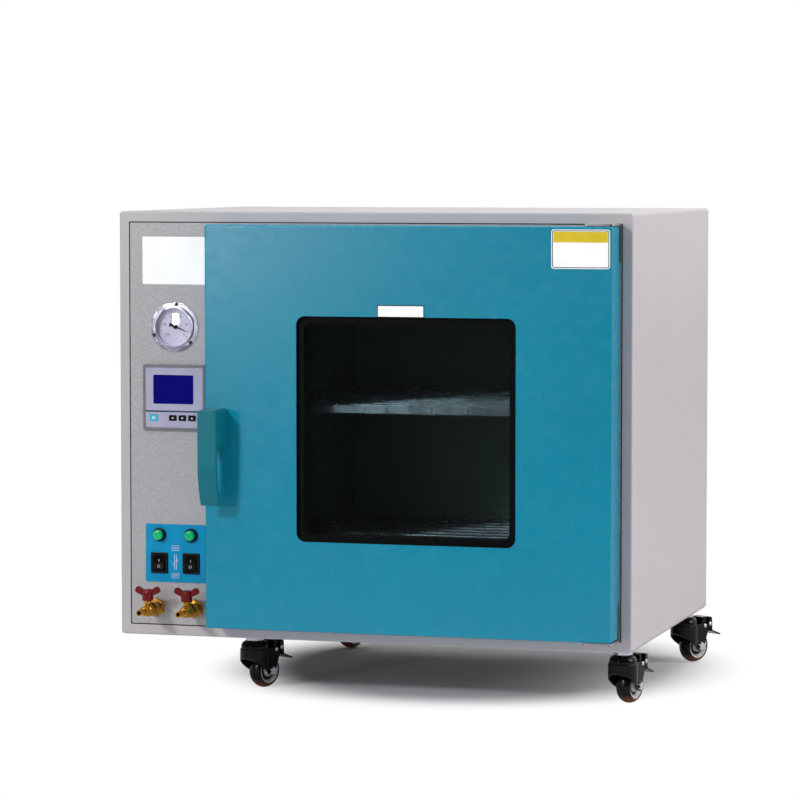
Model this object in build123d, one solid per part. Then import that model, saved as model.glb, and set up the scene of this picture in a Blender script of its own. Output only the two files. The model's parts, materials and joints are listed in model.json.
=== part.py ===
from build123d import *
from math import cos, hypot, radians, sin
import os

# A vacuum drying oven on four braked casters, one STEP file for each sub-part, in millimetres.
# It is drawn about the cabinet: x to the right, y to the back from the front face, z up from the
# underside. The last step moves everything so that the origin is on the floor, mid-footprint.

# ---- Cabinet ----
cabinet_width = 766.0
cabinet_depth = 540.0
cabinet_height = 620.0
cabinet_sheet = 2.0
cabinet_edge_radius = 5.0
bottom_return = 12.0
frame_border = 15.0
panel_sheet = 2.0
seam_gap = 0.8
panel_lip = 7.0
panel_lip_sheet = 1.5
seat_gap = 0.3
rear_flange = 15.0
louvre_count = 9
louvre_length = 90.0
louvre_width = 4.0
louvre_pitch = 14.0

# ---- Chamber, behind the door ----
chamber_right_room = 92.5
chamber_side_rooms = 316.0
chamber_rise = 1.0
chamber_surround = 85.0
chamber_depth = 450.0
chamber_wall = 3.0
chamber_corner_radius = 20.0
chamber_flange_width = 25.0
heater_thickness = 5.0
heater_length = 320.0
heater_width = 250.0
insulation_thickness = 25.0
insulation_corner_radius = 30.0
heater_corner_radius = 8.0
sensor_radius = 2.0
sensor_reach = 40.0
sensor_head_radius = 6.0
sensor_head_length = 14.0
sensor_depth = 425.0
sensor_drop = 21.0

# ---- Gasket and door ----
gasket_width = 14.0
gasket_inset = 2.0
gasket_hole_margin = 3.0
door_side_margin = 74.5
door_end_margin = 19.0
door_thickness = 48.0
door_gap = 4.0
door_sheet = 2.0
door_corner_radius = 3.0
door_edge_radius = 2.5
window_width = 323.0
window_height = 323.0
window_radius = 13.0
window_lip = 10.0
guard_thickness = 5.0
guard_overlap = 14.0
glass_thickness = 15.0
glass_overlap = 9.0
inner_frame_sheet = 2.0

# ---- Hinges ----
hinge_inset = 12.0
hinge_forward = 30.0
hinge_leaf_width = 44.0
hinge_leaf_depth = 50.0
hinge_leaf_thickness = 3.0
hinge_leg_height = 50.0
hinge_leg_thickness = 2.5
hinge_pin_radius = 4.0
hinge_pin_clearance = 0.08
hinge_pin_length = 24.0
hinge_block_width = 28.0
hinge_block_depth = 40.0
hinge_relief = 7.0

# ---- Door handle and its latch ----
handle_inset = 19.5
handle_width = 28.0
handle_block_height = 56.0
handle_block_depth = 40.0
handle_gap = 3.0
lever_thickness = 6.0
lever_above = 27.0
lever_below = 110.0
lever_bend = 14.0
lever_bend_start = 49.0
latch_shaft_radius = 5.0
latch_shaft_clearance = 0.08
latch_shaft_seat = 3.0
tongue_width = 12.0
tongue_height = 38.0
tongue_thickness = 5.0
tongue_clearance = 1.6
striker_width = 34.0
striker_height = 66.0
striker_thickness = 2.0

# ---- Shelves ----
shelf_heights = {"lower": 56.0, "upper": 256.0}
shelf_side_gap = 10.0
shelf_front = 18.0
shelf_length = 422.0
shelf_bar = 1.6
shelf_bar_height = 11.0
shelf_rod_radius = 2.0
shelf_rod_pitch = 38.5
shelf_rod_count = 10
rail_thickness = 1.5
rail_reach = 16.0
rail_drop = 12.0

# ---- Control column ----
column_inset = 85.0
gauge_height = 452.0
gauge_flange_radius = 36.0
gauge_flange_thickness = 2.0
gauge_ring_radius = 30.5
gauge_ring_height = 4.5
gauge_window_radius = 28.0
gauge_case_radius = 31.0
gauge_case_depth = 34.0
gauge_dial_depth = 5.0
gauge_dial_thickness = 0.8
gauge_lens_thickness = 1.6
gauge_tail_radius = 6.0
gauge_tail_length = 16.0
needle_length = 20.5
needle_tail = 10.0
needle_thickness = 0.6
needle_hub_radius = 3.2
needle_rest_angle = -21.0
controller_height = 349.0
controller_size = 96.0
controller_bezel = 5.0
controller_body = 90.5
controller_depth = 74.0
controller_face_size = 88.0
controller_face_inset = 0.8
display_width = 61.5
display_height = 42.0
display_offset = (-1.0, 12.0)
display_thickness = 1.2
button_row = -29.5
button_sizes = {"set": (13.0, 9.0), "left": (11.4, 7.8), "down": (11.4, 7.8), "up": (11.4, 7.8)}
button_places = {"set": -31.4, "left": -1.9, "down": 12.9, "up": 27.7}
button_clearance = 0.3
button_stand = 1.0
button_depth = 7.0
button_travel = 0.8
indicator_width = 92.0
indicator_height = 85.0
indicator_centre_height = 121.0
indicator_sheet = 1.0
pair_pitch = 49.0
lamp_height = 148.0
lamp_ring_radius = 10.0
lamp_ring_height = 4.5
lamp_barrel_radius = 8.0
lamp_barrel_depth = 26.0
lamp_lens_radius = 7.6
lamp_lens_height = 11.5
switch_height = 106.5
switch_width = 26.2
switch_tall = 30.5
switch_flange = 2.0
switch_body_width = 21.8
switch_body_tall = 27.2
switch_body_depth = 24.0
rocker_width = 16.5
rocker_tall = 22.5
rocker_clearance = 0.35
rocker_stand = 3.2
rocker_tilt = 10.0
rocker_pin_radius = 1.5
rocker_pin_clearance = 0.08
rocker_pin_reach = 1.5

# ---- Valves on the panel ----
valve_height = 41.0
valve_pitch = 60.0
valve_nut_flats = 24.0
valve_nut_length = 8.0
valve_body_flats = 20.0
valve_body_length = 18.0
valve_ball_radius = 9.5
valve_stem_forward = 37.0
valve_neck_radius = 4.7
valve_neck_top = 13.6
valve_spigot_radius = 4.25
valve_spigot_bore = 3.1
valve_spigot_length = 20.0
valve_reach = 74.0
valve_tail_radius = 6.0
valve_tail_length = 24.0
valve_stem_radius = 3.0
valve_handle_hub_radius = 8.2
valve_handle_hub_height = 17.0
valve_wing_reach = 20.5
valve_wing_width = 10.5
valve_wing_root = 7.5
valve_wing_round = 4.0
valve_wing_thickness = 5.5
valve_wing_rise = 28.0
valve_handle_crown = 5.0
valve_running_clearance = 0.08
pipe_radius = 4.0
pipe_bore = 3.0
pipe_bend = 14.0
vacuum_pipe_depth = 260.0
vacuum_port_height = 150.0
air_pipe_depth = 150.0
air_port_height = 126.0
gauge_pipe_depth = 120.0

# ---- Power inlet on the rear panel ----
inlet_inset = 83.0
inlet_height = 90.0
inlet_width = 58.0
inlet_tall = 30.0
inlet_flange = 3.0
inlet_body_width = 34.0
inlet_body_tall = 24.0
inlet_body_depth = 30.0
inlet_socket_width = 25.0
inlet_socket_tall = 17.0
inlet_socket_depth = 18.0
inlet_pin_width = 6.0
inlet_pin_thickness = 2.0
inlet_pin_length = 14.0
inlet_pin_pitch = 13.0

# ---- Casters ----
caster_left_inset = 193.0
caster_right_inset = 21.0
caster_front = 40.0
caster_back_inset = 65.0
caster_height = 79.0
caster_trail = 20.0
caster_angles = {"front_left": 64.0, "front_right": 74.0, "rear_left": 60.0, "rear_right": 57.0}
stem_radius = 6.0
stem_clearance = 0.08
stem_nut_flats = 24.0
stem_nut_height = 7.0
stem_above = 10.0
stem_washer_radius = 15.0
stem_washer_thickness = 1.5
hood_radius = 21.5
hood_height = 16.0
hood_top_radius = 12.0
hood_crown_thickness = 5.0
hood_lobe_height = 9.5
hood_groove = 1.5
hood_gap = 1.0
raceway_room = 5.0
raceway_lip = 4.0
stem_head_lip = 3.0
stem_head_thickness = 2.0
fork_inside = 27.0
fork_sheet = 2.5
fork_shoulder = 11.5
fork_bend = 1.5
fork_nose_drop = 13.0
fork_round = 7.0
fork_back = 7.0
fork_back_drop = 12.0
fork_plate_end = 24.0
wheel_radius = 25.0
wheel_width = 22.0
tyre_crown = 5.0
rim_radius = 18.5
rim_width = 20.0
rim_dish = 4.5
rim_lip = 2.5
rim_slope = 2.5
hub_radius = 8.0
hub_slope = 1.0
hub_stand = 1.5
axle_radius = 4.0
axle_clearance = 0.08
axle_head_flats = 12.0
axle_head_height = 4.0
pedal_pivot = (29.0, -22.5)
pedal_pin_radius = 2.0
pedal_pin_clearance = 0.08
pedal_rivet_radius = 2.8
pedal_rivet_height = 1.2
pedal_rivet_back = 12.3
pedal_rivet_rise = 2.0
pedal_inside = 19.0
pedal_cheek = 2.2
pedal_start = 27.5
pedal_knee = 15.5
pedal_drop = 9.0
pedal_tip_drop = 16.0
pedal_reach = 64.0
pedal_width = 30.0
pedal_plate = 2.2
pedal_bend = 3.0
pedal_flange_start = 9.8
pedal_flange_drop = 2.5
pedal_pad_start = 4.5
pedal_pad_length = 5.0
pedal_pad_drop = 4.0
pedal_pad_thickness = 3.5

# ---- Worked out from the sizes above ----
chamber_width = cabinet_width - chamber_side_rooms
chamber_height = cabinet_height - 2 * chamber_surround
chamber_centre_x = cabinet_width / 2 - chamber_right_room - chamber_width / 2
chamber_centre_z = cabinet_height / 2 + chamber_rise
door_width = chamber_width + 2 * door_side_margin
door_height = cabinet_height - 2 * door_end_margin
column_x = -cabinet_width / 2 + column_inset
inlet_x = -cabinet_width / 2 + inlet_inset
caster_left = -cabinet_width / 2 + caster_left_inset
caster_right = cabinet_width / 2 - caster_right_inset
caster_back = cabinet_depth - caster_back_inset
chamber_left = chamber_centre_x - chamber_width / 2
chamber_floor = chamber_centre_z - chamber_height / 2
door_back = -door_gap
door_front = door_back - door_thickness
door_left = chamber_centre_x - door_width / 2
door_right = chamber_centre_x + door_width / 2
door_bottom = chamber_centre_z - door_height / 2
door_top = chamber_centre_z + door_height / 2
pivot_x = door_right - hinge_inset
pivot_y = -hinge_forward
inner_frame_front = door_back - inner_frame_sheet * 2
glass_back = inner_frame_front
glass_front = glass_back - glass_thickness
guard_front = door_front + door_sheet
guard_back = guard_front + guard_thickness
gasket_hole_width = chamber_width + 2 * (gasket_inset + gasket_width + gasket_hole_margin)
gasket_hole_height = chamber_height + 2 * (gasket_inset + gasket_width + gasket_hole_margin)
glass_width = gasket_hole_width + 2 * glass_overlap
glass_height = gasket_hole_height + 2 * glass_overlap
handle_x = door_left + handle_inset
block_front = door_front - handle_block_depth
lever_back = block_front - handle_gap
lever_front = lever_back - lever_thickness
axle_drop = caster_height - wheel_radius
valve_xs = {"vacuum": column_x - valve_pitch / 2, "air": column_x + valve_pitch / 2}
caster_places = {
    "front_left": (caster_left, caster_front),
    "front_right": (caster_right, caster_front),
    "rear_left": (caster_left, caster_back),
    "rear_right": (caster_right, caster_back),
}


def pedal_corner_x(name):
    """Return how far right the near corner of a caster's pedal reaches."""
    turn = radians(caster_angles[name])
    return caster_places[name][0] + pedal_reach * cos(turn) + pedal_width / 2 * sin(turn)


footprint_left = -cabinet_width / 2
footprint_right = max(cabinet_width / 2, pedal_corner_x("front_right"), pedal_corner_x("rear_right"))
footprint_front = lever_front
footprint_back = cabinet_depth + inlet_flange
to_floor_origin = Location((
    -(footprint_left + footprint_right) / 2,
    -(footprint_front + footprint_back) / 2,
    caster_height,
))


# ---- Drawing helpers ----
def block(x, y, z):
    """Return a box from three (low, high) pairs."""
    size = [high - low for low, high in (x, y, z)]
    return Pos(*[(low + high) / 2 for low, high in (x, y, z)]) * Box(*size)


def from_back(outline, back, thickness):
    """Return an outline drawn in x and z, raised from the depth `back` towards the front."""
    plane = Plane((0, back, 0), x_dir=(1, 0, 0), z_dir=(0, -1, 0))
    return extrude(plane * outline, thickness)


def rounded(width, height, radius, x=0.0, z=0.0):
    """Return a rounded rectangle centred at x and z."""
    return Pos(x, z) * RectangleRounded(width, height, radius)


def disc(radius, x, z, front, back):
    """Return a round bar along y between two depths."""
    return from_back(Pos(x, z) * Circle(radius), back, back - front)


def chamber_outline(grow, radius=None):
    """Return the chamber's inside outline, grown on every side."""
    corner = chamber_corner_radius + grow if radius is None else radius
    return rounded(chamber_width + 2 * grow, chamber_height + 2 * grow, corner,
                   chamber_centre_x, chamber_centre_z)


def raised_sideways(sketch, start, thickness):
    """Return an upright sketch (x, z) raised along y from start by thickness."""
    return extrude(Plane((0, start + thickness, 0), x_dir=(1, 0, 0), z_dir=(0, -1, 0)) * sketch, thickness)


def hexagon(flats):
    """Return a hexagon with the given distance across its flats."""
    return RegularPolygon(flats / 2, 6, major_radius=False)


# ---- Cabinet ----
def cabinet_shell():
    """Return the folded outer wrap: top, sides and the frame round the front panel."""
    centre = cabinet_height / 2
    outside = rounded(cabinet_width, cabinet_height, cabinet_edge_radius, 0, centre)
    inside = rounded(cabinet_width - 2 * cabinet_sheet, cabinet_height - 2 * cabinet_sheet,
                     cabinet_edge_radius - cabinet_sheet, 0, centre)
    mouth = rounded(cabinet_width - 2 * frame_border, cabinet_height - 2 * frame_border, 3, 0, centre)
    back_mouth = rounded(cabinet_width - 2 * rear_flange, cabinet_height - 2 * rear_flange, 3, 0, centre)
    shell = from_back(outside, cabinet_depth, cabinet_depth)
    front_edges = shell.edges().filter_by_position(Axis.Y, -0.01, 0.01)
    shell = fillet(front_edges, cabinet_edge_radius / 2)
    shell -= from_back(inside, cabinet_depth - 2 * cabinet_sheet, cabinet_depth - 3 * cabinet_sheet)
    shell -= from_back(mouth, cabinet_depth / 2, cabinet_depth)
    shell -= from_back(back_mouth, cabinet_depth + 1, cabinet_depth / 2)
    shell -= from_back(inside, cabinet_depth + 1, cabinet_sheet + 1)
    half = cabinet_width / 2 - cabinet_sheet
    shell -= block((-half, half), (bottom_return, cabinet_depth + 1), (-1, cabinet_edge_radius))
    return shell


def rear_panel():
    """Return the flat back cover with its louvres and the hole for the power inlet."""
    width = cabinet_width - 2 * (cabinet_sheet + seat_gap)
    height = cabinet_height - 2 * (cabinet_sheet + seat_gap) - cabinet_sheet
    centre = (cabinet_height + cabinet_sheet) / 2
    panel = from_back(rounded(width, height, 3, 0, centre), cabinet_depth, cabinet_sheet)
    first = cabinet_height * 0.62
    for row in range(louvre_count):
        slot = Pos(inlet_x + louvre_width, first + row * louvre_pitch) * SlotOverall(louvre_length, louvre_width)
        panel -= from_back(slot, cabinet_depth + 1, cabinet_sheet + 2)
    hole = rounded(inlet_body_width + 2 * seat_gap, inlet_body_tall + 2 * seat_gap, 3, inlet_x, inlet_height)
    return panel - from_back(hole, cabinet_depth + 1, cabinet_sheet + 2)


def base_plate():
    """Return the bottom plate that the casters bolt to."""
    half = cabinet_width / 2 - cabinet_sheet - seat_gap
    plate = block((-half, half), (bottom_return, cabinet_depth - 2 * cabinet_sheet), (0, cabinet_sheet))
    for x, y in caster_places.values():
        plate -= Pos(x, y, 0) * Cylinder(stem_radius + seat_gap, 4 * cabinet_sheet)
    return plate


def front_panel():
    """Return the flush front panel, pierced for the chamber and for everything on the column."""
    width = cabinet_width - 2 * (frame_border + seam_gap)
    height = cabinet_height - 2 * (frame_border + seam_gap)
    outline = rounded(width, height, 2.5, 0, cabinet_height / 2)
    panel = from_back(outline, panel_sheet, panel_sheet)
    lip = rounded(width + 2 * (panel_lip + seam_gap), height + 2 * (panel_lip + seam_gap), 4, 0, cabinet_height / 2)
    lip -= rounded(width - 2 * panel_lip, height - 2 * panel_lip, 4, 0, cabinet_height / 2)
    panel += from_back(lip, panel_sheet + panel_lip_sheet, panel_lip_sheet)
    holes = rounded(gasket_hole_width, gasket_hole_height, chamber_corner_radius,
                    chamber_centre_x, chamber_centre_z)
    holes += Pos(column_x, gauge_height) * Circle(gauge_case_radius + seat_gap)
    body = controller_body + 2 * seat_gap
    holes += rounded(body, body, 1.5, column_x, controller_height)
    for side in (-1, 1):
        x = column_x + side * pair_pitch / 2
        holes += Pos(x, lamp_height) * Circle(lamp_barrel_radius + seat_gap)
        holes += rounded(switch_body_width + 2 * seat_gap, switch_body_tall + 2 * seat_gap, 1.5,
                         x, switch_height)
    for x in valve_xs.values():
        holes += Pos(x, valve_height) * Circle(valve_tail_radius + seat_gap)
    holes += rounded(tongue_width + 2 * tongue_clearance, tongue_height + 2 * tongue_clearance, 5,
                     handle_x, chamber_centre_z)
    return panel - from_back(holes, panel_sheet + 1, panel_sheet + 2)


# ---- Chamber ----
def inner_chamber():
    """Return the welded stainless chamber: wrap, back and the flange behind the front panel."""
    back = panel_sheet + chamber_depth + chamber_wall
    shell = from_back(chamber_outline(chamber_wall), back, back - panel_sheet)
    flange = from_back(chamber_outline(chamber_flange_width), panel_sheet + chamber_wall, chamber_wall)
    hollow = from_back(chamber_outline(0), panel_sheet + chamber_depth, chamber_depth + 1)
    chamber = shell + flange - hollow
    for depth, height in ports():
        port = Pos(chamber_left, depth, height) * Rot(0, 90, 0)
        chamber -= port * Cylinder(pipe_bore, 4 * chamber_wall)
    sensor = Pos(chamber_left, sensor_depth, sensor_line()) * Rot(0, 90, 0)
    return chamber - sensor * Cylinder(sensor_radius + seat_gap, 4 * chamber_wall)


def ports():
    """Return the depth and height of each pipe port in the chamber's left wall."""
    return [
        (vacuum_pipe_depth, vacuum_port_height),
        (air_pipe_depth, air_port_height),
        (gauge_pipe_depth, gauge_height),
    ]


def sensor_line():
    """Return the height of the temperature probe."""
    return chamber_floor + chamber_height - sensor_drop


def heater_plates():
    """Return the four flat heaters that lie against the chamber's outside."""
    out_x = chamber_width / 2 + chamber_wall
    out_z = chamber_height / 2 + chamber_wall
    middle = panel_sheet + chamber_depth / 2
    beside = Box(heater_thickness, heater_length, heater_width)
    above = Box(heater_width, heater_length, heater_thickness)
    plates = Part()
    for side in (-1, 1):
        upright = Pos(chamber_centre_x + side * (out_x + heater_thickness / 2), middle, chamber_centre_z)
        plates += upright * fillet(beside.edges().filter_by(Axis.X), heater_corner_radius)
        level = Pos(chamber_centre_x, middle, chamber_centre_z + side * (out_z + heater_thickness / 2))
        plates += level * fillet(above.edges().filter_by(Axis.Z), heater_corner_radius)
    return plates


def insulation():
    """Return the insulating jacket round the heaters, with its pipe and probe holes."""
    inside = chamber_wall + heater_thickness
    front = panel_sheet + chamber_wall
    back = panel_sheet + chamber_depth + chamber_wall
    outline = chamber_outline(inside + insulation_thickness, insulation_corner_radius)
    jacket = from_back(outline, back + insulation_thickness, back + insulation_thickness - front)
    jacket -= from_back(chamber_outline(inside, chamber_corner_radius + chamber_wall), back, back - front + 1)
    wall_x = chamber_left - inside - insulation_thickness / 2
    for depth, height in ports():
        jacket -= Pos(wall_x, depth, height) * Rot(0, 90, 0) * Cylinder(pipe_radius + 2, 2 * insulation_thickness)
    hole = Cylinder(sensor_head_radius + 2, 2 * insulation_thickness)
    return jacket - Pos(wall_x, sensor_depth, sensor_line()) * Rot(0, 90, 0) * hole


def temperature_sensor():
    """Return the probe through the chamber's wall, with its terminal head outside."""
    line = Pos(chamber_left, sensor_depth, sensor_line()) * Rot(0, 90, 0)
    probe = line * Pos(0, 0, (sensor_reach - chamber_wall) / 2) * Cylinder(sensor_radius, sensor_reach + chamber_wall)
    head = line * Pos(0, 0, -chamber_wall - sensor_head_length / 2) * Cylinder(sensor_head_radius, sensor_head_length)
    return probe + head


def shelf_rails():
    """Return the four angle rails that carry the shelves."""
    rails = Part()
    for rise in shelf_heights.values():
        top = chamber_floor + rise - shelf_bar_height
        for side in (-1, 1):
            wall = chamber_centre_x + side * chamber_width / 2
            inner = wall - side * rail_reach
            ledge_x = (min(wall, inner), max(wall, inner))
            leg = wall - side * rail_thickness
            depth = (shelf_front, shelf_front + shelf_length)
            rail = block(ledge_x, depth, (top - rail_thickness, top))
            rail += block((min(wall, leg), max(wall, leg)), depth, (top - rail_drop, top))
            rails += rail
    return rails


def shelf(rise):
    """Return a welded rod shelf: a flat-bar rim and round rods from side to side."""
    top = chamber_floor + rise
    half = chamber_width / 2 - shelf_side_gap
    rim = Pos(chamber_centre_x, shelf_front + shelf_length / 2, top - shelf_bar_height / 2) * (
        Box(2 * half, shelf_length, shelf_bar_height)
        - Box(2 * (half - shelf_bar), shelf_length - 2 * shelf_bar, 2 * shelf_bar_height)
    )
    rods = [
        Pos(chamber_centre_x, shelf_front + shelf_rod_pitch * (number + 1), top - shelf_rod_radius)
        * Rot(0, 90, 0) * Cylinder(shelf_rod_radius, 2 * half - shelf_bar)
        for number in range(shelf_rod_count)
    ]
    return rim + rods


def door_gasket():
    """Return the silicone seal, seated on the chamber's flange and lipped towards the glass."""
    front = glass_back + seat_gap
    seal = from_back(chamber_outline(gasket_inset + gasket_width), panel_sheet, panel_sheet - front)
    seal -= from_back(chamber_outline(gasket_inset), panel_sheet + 1, panel_sheet - front + 2)
    outer_lip = seal.edges().filter_by_position(Axis.Y, front - 0.01, front + 0.01)
    return fillet(outer_lip, 2.0)


# ---- Door ----
def door_shell():
    """Return the pressed door pan with its window, corner blocks and hinge bores."""
    outline = rounded(door_width, door_height, door_corner_radius, chamber_centre_x, chamber_centre_z)
    pan = from_back(outline, door_back, door_thickness)
    rim = pan.edges().filter_by_position(Axis.Y, door_front - 0.01, door_front + 0.01)
    pan = fillet(rim, door_edge_radius)
    inside = rounded(door_width - 2 * door_sheet, door_height - 2 * door_sheet, 1.5,
                     chamber_centre_x, chamber_centre_z)
    pan -= from_back(inside, door_back + 1, door_thickness - door_sheet + 1)
    window = rounded(window_width, window_height, window_radius, chamber_centre_x, chamber_centre_z)
    pan -= from_back(window, door_back, door_thickness + 1)
    for end in (-1, 1):
        pan += hinge_block(end)
    for end in (-1, 1):
        pan -= hinge_bore(end)
        pan -= hinge_corner(end)
    hole = latch_shaft_radius + latch_shaft_clearance + 1
    return pan - disc(hole, handle_x, chamber_centre_z, door_front - 1, door_front + door_sheet + 1)


def hinge_end(end):
    """Return the height of the door's top or bottom edge."""
    return door_top if end > 0 else door_bottom


def hinge_block(end):
    """Return the solid block welded inside a corner of the door pan."""
    outer = hinge_end(end) - end * door_sheet / 2
    inner = hinge_end(end) - end * (hinge_leg_height + door_sheet)
    right = door_right - door_sheet / 2
    front = door_front + door_sheet / 2
    return block((right - hinge_block_width, right), (front, front + hinge_block_depth),
                 (min(outer, inner), max(outer, inner)))


def hinge_bore(end):
    """Return the pin's bore in a corner block."""
    depth = 2 * (hinge_pin_length + 2)
    return Pos(pivot_x, pivot_y, hinge_end(end)) * Cylinder(hinge_pin_radius + hinge_pin_clearance, depth)


def hinge_corner(end):
    """Return the relief that lets the door's rear corner swing past the hinge leg."""
    corner = Polyline((door_right + 1, door_back + 1), (door_right + 1, door_back - hinge_relief),
                      (door_right, door_back - hinge_relief), (door_right - hinge_relief, door_back),
                      (door_right - hinge_relief, door_back + 1), close=True)
    low = hinge_end(end) - end * (hinge_leg_height + door_sheet)
    base = min(low, hinge_end(end) + end)
    return Pos(0, 0, base) * extrude(make_face(corner), hinge_leg_height + door_sheet + 1)


def door_inner_frame():
    """Return the steel frame that closes the door's back and holds the glass."""
    outline = rounded(door_width - 2 * door_sheet, door_height - 2 * door_sheet, 1.5,
                      chamber_centre_x, chamber_centre_z)
    front = door_back - inner_frame_sheet
    frame = from_back(outline, front, inner_frame_sheet)
    opening = rounded(gasket_hole_width + 4, gasket_hole_height + 4, chamber_corner_radius,
                      chamber_centre_x, chamber_centre_z)
    frame -= from_back(opening, door_back, 3 * inner_frame_sheet)
    corner_x = door_right - door_sheet - hinge_block_width
    for end in (-1, 1):
        low = min(hinge_end(end), hinge_end(end) - end * (hinge_leg_height + 2 * door_sheet))
        frame -= block((corner_x, door_right), (inner_frame_front - 1, door_back + 1),
                       (low - 1, low + hinge_leg_height + 2 * door_sheet + 1))
    hole = latch_shaft_radius + latch_shaft_clearance + 1
    return frame - disc(hole, handle_x, chamber_centre_z, inner_frame_front - 1, door_back + 1)


def window_guard():
    """Return the clear guard pane behind the door's front."""
    outline = rounded(window_width + 2 * guard_overlap, window_height + 2 * guard_overlap, 6,
                      chamber_centre_x, chamber_centre_z)
    return from_back(outline, guard_back, guard_thickness)


def window_spacer():
    """Return the black frame between the two panes."""
    outline = rounded(window_width + 2 * guard_overlap, window_height + 2 * guard_overlap, 6,
                      chamber_centre_x, chamber_centre_z)
    sight = rounded(window_width - 2 * window_lip, window_height - 2 * window_lip, window_radius - 3,
                    chamber_centre_x, chamber_centre_z)
    back = glass_front
    depth = back - guard_back
    return from_back(outline, back, depth) - from_back(sight, back + 1, depth + 2)


def safety_glass():
    """Return the thick toughened pane that presses on the chamber's seal."""
    outline = rounded(glass_width, glass_height, chamber_corner_radius, chamber_centre_x, chamber_centre_z)
    return chamfer(from_back(outline, glass_back, glass_thickness).faces().sort_by(Axis.Y)[-1].edges(), 1.0)


def hinge_brackets():
    """Return the two hinge brackets, each a folded leaf with its pin welded in."""
    brackets = Part()
    for end in (-1, 1):
        near = hinge_end(end) + end * 2 * seat_gap
        far = near + end * hinge_leaf_thickness
        heel = hinge_end(end) - end * hinge_leg_height
        right = door_right + 1
        left = right - hinge_leaf_width
        leaf = block((left, right), (-hinge_leaf_depth, 0), (min(near, far), max(near, far)))
        outer_corners = leaf.edges().filter_by(Axis.Z).filter_by_position(Axis.Y, -hinge_leaf_depth - 1,
                                                                        -hinge_leaf_depth + 1)
        leaf = fillet(outer_corners, 6)
        leg = block((left, right), (-hinge_leg_thickness, 0), (min(heel, far), max(heel, far)))
        pin_end = hinge_end(end) - end * hinge_pin_length
        pin = Pos(pivot_x, pivot_y, (pin_end + far) / 2) * Cylinder(hinge_pin_radius, abs(far - pin_end))
        brackets += leaf + leg + pin
    return brackets


# ---- Handle and latch ----
def handle_block():
    """Return the housing on the door's face that the lever's shaft turns in."""
    outline = rounded(handle_width, handle_block_height, 3, handle_x, chamber_centre_z)
    body = from_back(outline, door_front, handle_block_depth)
    rim = body.edges().filter_by_position(Axis.Y, block_front - 0.01, block_front + 0.01)
    body = fillet(rim, 1.5)
    hole = latch_shaft_radius + latch_shaft_clearance
    return body - disc(hole, handle_x, chamber_centre_z, block_front - 1, door_front + 1)


def handle_lever():
    """Return the curved lever: flat over the block, its lower end swept back towards the door."""
    top = chamber_centre_z + lever_above
    bend = top - lever_above - lever_bend_start
    foot = chamber_centre_z - lever_below
    outer = TangentArc((lever_front, bend), (lever_front + lever_bend, foot), tangent=(0, -1))
    inner = TangentArc((lever_back, bend), (lever_back + lever_bend - 1, foot + 1.2), tangent=(0, -1))
    side = Line((lever_front, top), (lever_front, bend)) + outer
    side += Line((lever_front + lever_bend, foot), (lever_back + lever_bend - 1, foot + 1.2))
    side += inner + Line((lever_back, bend), (lever_back, top)) + Line((lever_back, top), (lever_front, top))
    plane = Plane((handle_x - handle_width / 2, 0, 0), x_dir=(0, 1, 0), z_dir=(1, 0, 0))
    lever = extrude(plane * make_face(side), handle_width)
    upright = lever.edges().filter_by(GeomType.LINE).filter_by(Axis.Z)
    lever = fillet(upright.filter_by_position(Axis.Y, lever_front - 0.1, lever_front + 0.1), 1.5)
    seat = disc(latch_shaft_radius, handle_x, chamber_centre_z, lever_back - latch_shaft_seat, lever_back + 1)
    return lever - seat


def latch_shaft():
    """Return the shaft through the door with the tongue that turns behind the front panel."""
    tongue_front = panel_sheet + seat_gap
    shaft = disc(latch_shaft_radius, handle_x, chamber_centre_z, lever_back - latch_shaft_seat, tongue_front)
    tongue = rounded(tongue_width, tongue_height, tongue_width / 2 - 0.5, handle_x, chamber_centre_z)
    return shaft + from_back(tongue, tongue_front + tongue_thickness, tongue_thickness)


def striker_plate():
    """Return the slotted wear plate on the front panel that the tongue passes through."""
    plate = from_back(rounded(striker_width, striker_height, 4, handle_x, chamber_centre_z), 0, striker_thickness)
    slot = rounded(tongue_width + 2 * tongue_clearance, tongue_height + 2 * tongue_clearance, 5,
                   handle_x, chamber_centre_z)
    return plate - from_back(slot, 1, striker_thickness + 2)


# ---- Gauge ----
def gauge_case():
    """Return the gauge's flange, bezel ring and case, open at the front."""
    x = column_x
    z = gauge_height
    case = disc(gauge_flange_radius, x, z, -gauge_flange_thickness, 0)
    case += disc(gauge_ring_radius, x, z, -gauge_ring_height, 0)
    case += disc(gauge_case_radius, x, z, 0, gauge_case_depth)
    case += disc(gauge_tail_radius, x, z, gauge_case_depth, gauge_case_depth + gauge_tail_length)
    rim = case.edges().filter_by_position(Axis.Y, -gauge_ring_height - 0.01, -gauge_ring_height + 0.01)
    case = fillet(rim, 1.2)
    return case - disc(gauge_window_radius, x, z, -gauge_ring_height - 1, gauge_dial_depth + gauge_dial_thickness)


def gauge_dial():
    """Return the gauge's printed disc with its centre post."""
    back = gauge_dial_depth + gauge_dial_thickness
    dial = disc(gauge_window_radius - 0.1, column_x, gauge_height, gauge_dial_depth, back)
    return dial + disc(0.8, column_x, gauge_height, needle_front() + 0.3, back)


def needle_front():
    """Return the depth of the needle's front face."""
    return gauge_dial_depth - 3 * needle_thickness


def gauge_lens():
    """Return the gauge's glass."""
    front = -gauge_ring_height + 2
    return disc(gauge_window_radius - 0.1, column_x, gauge_height, front, front + gauge_lens_thickness)


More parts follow.
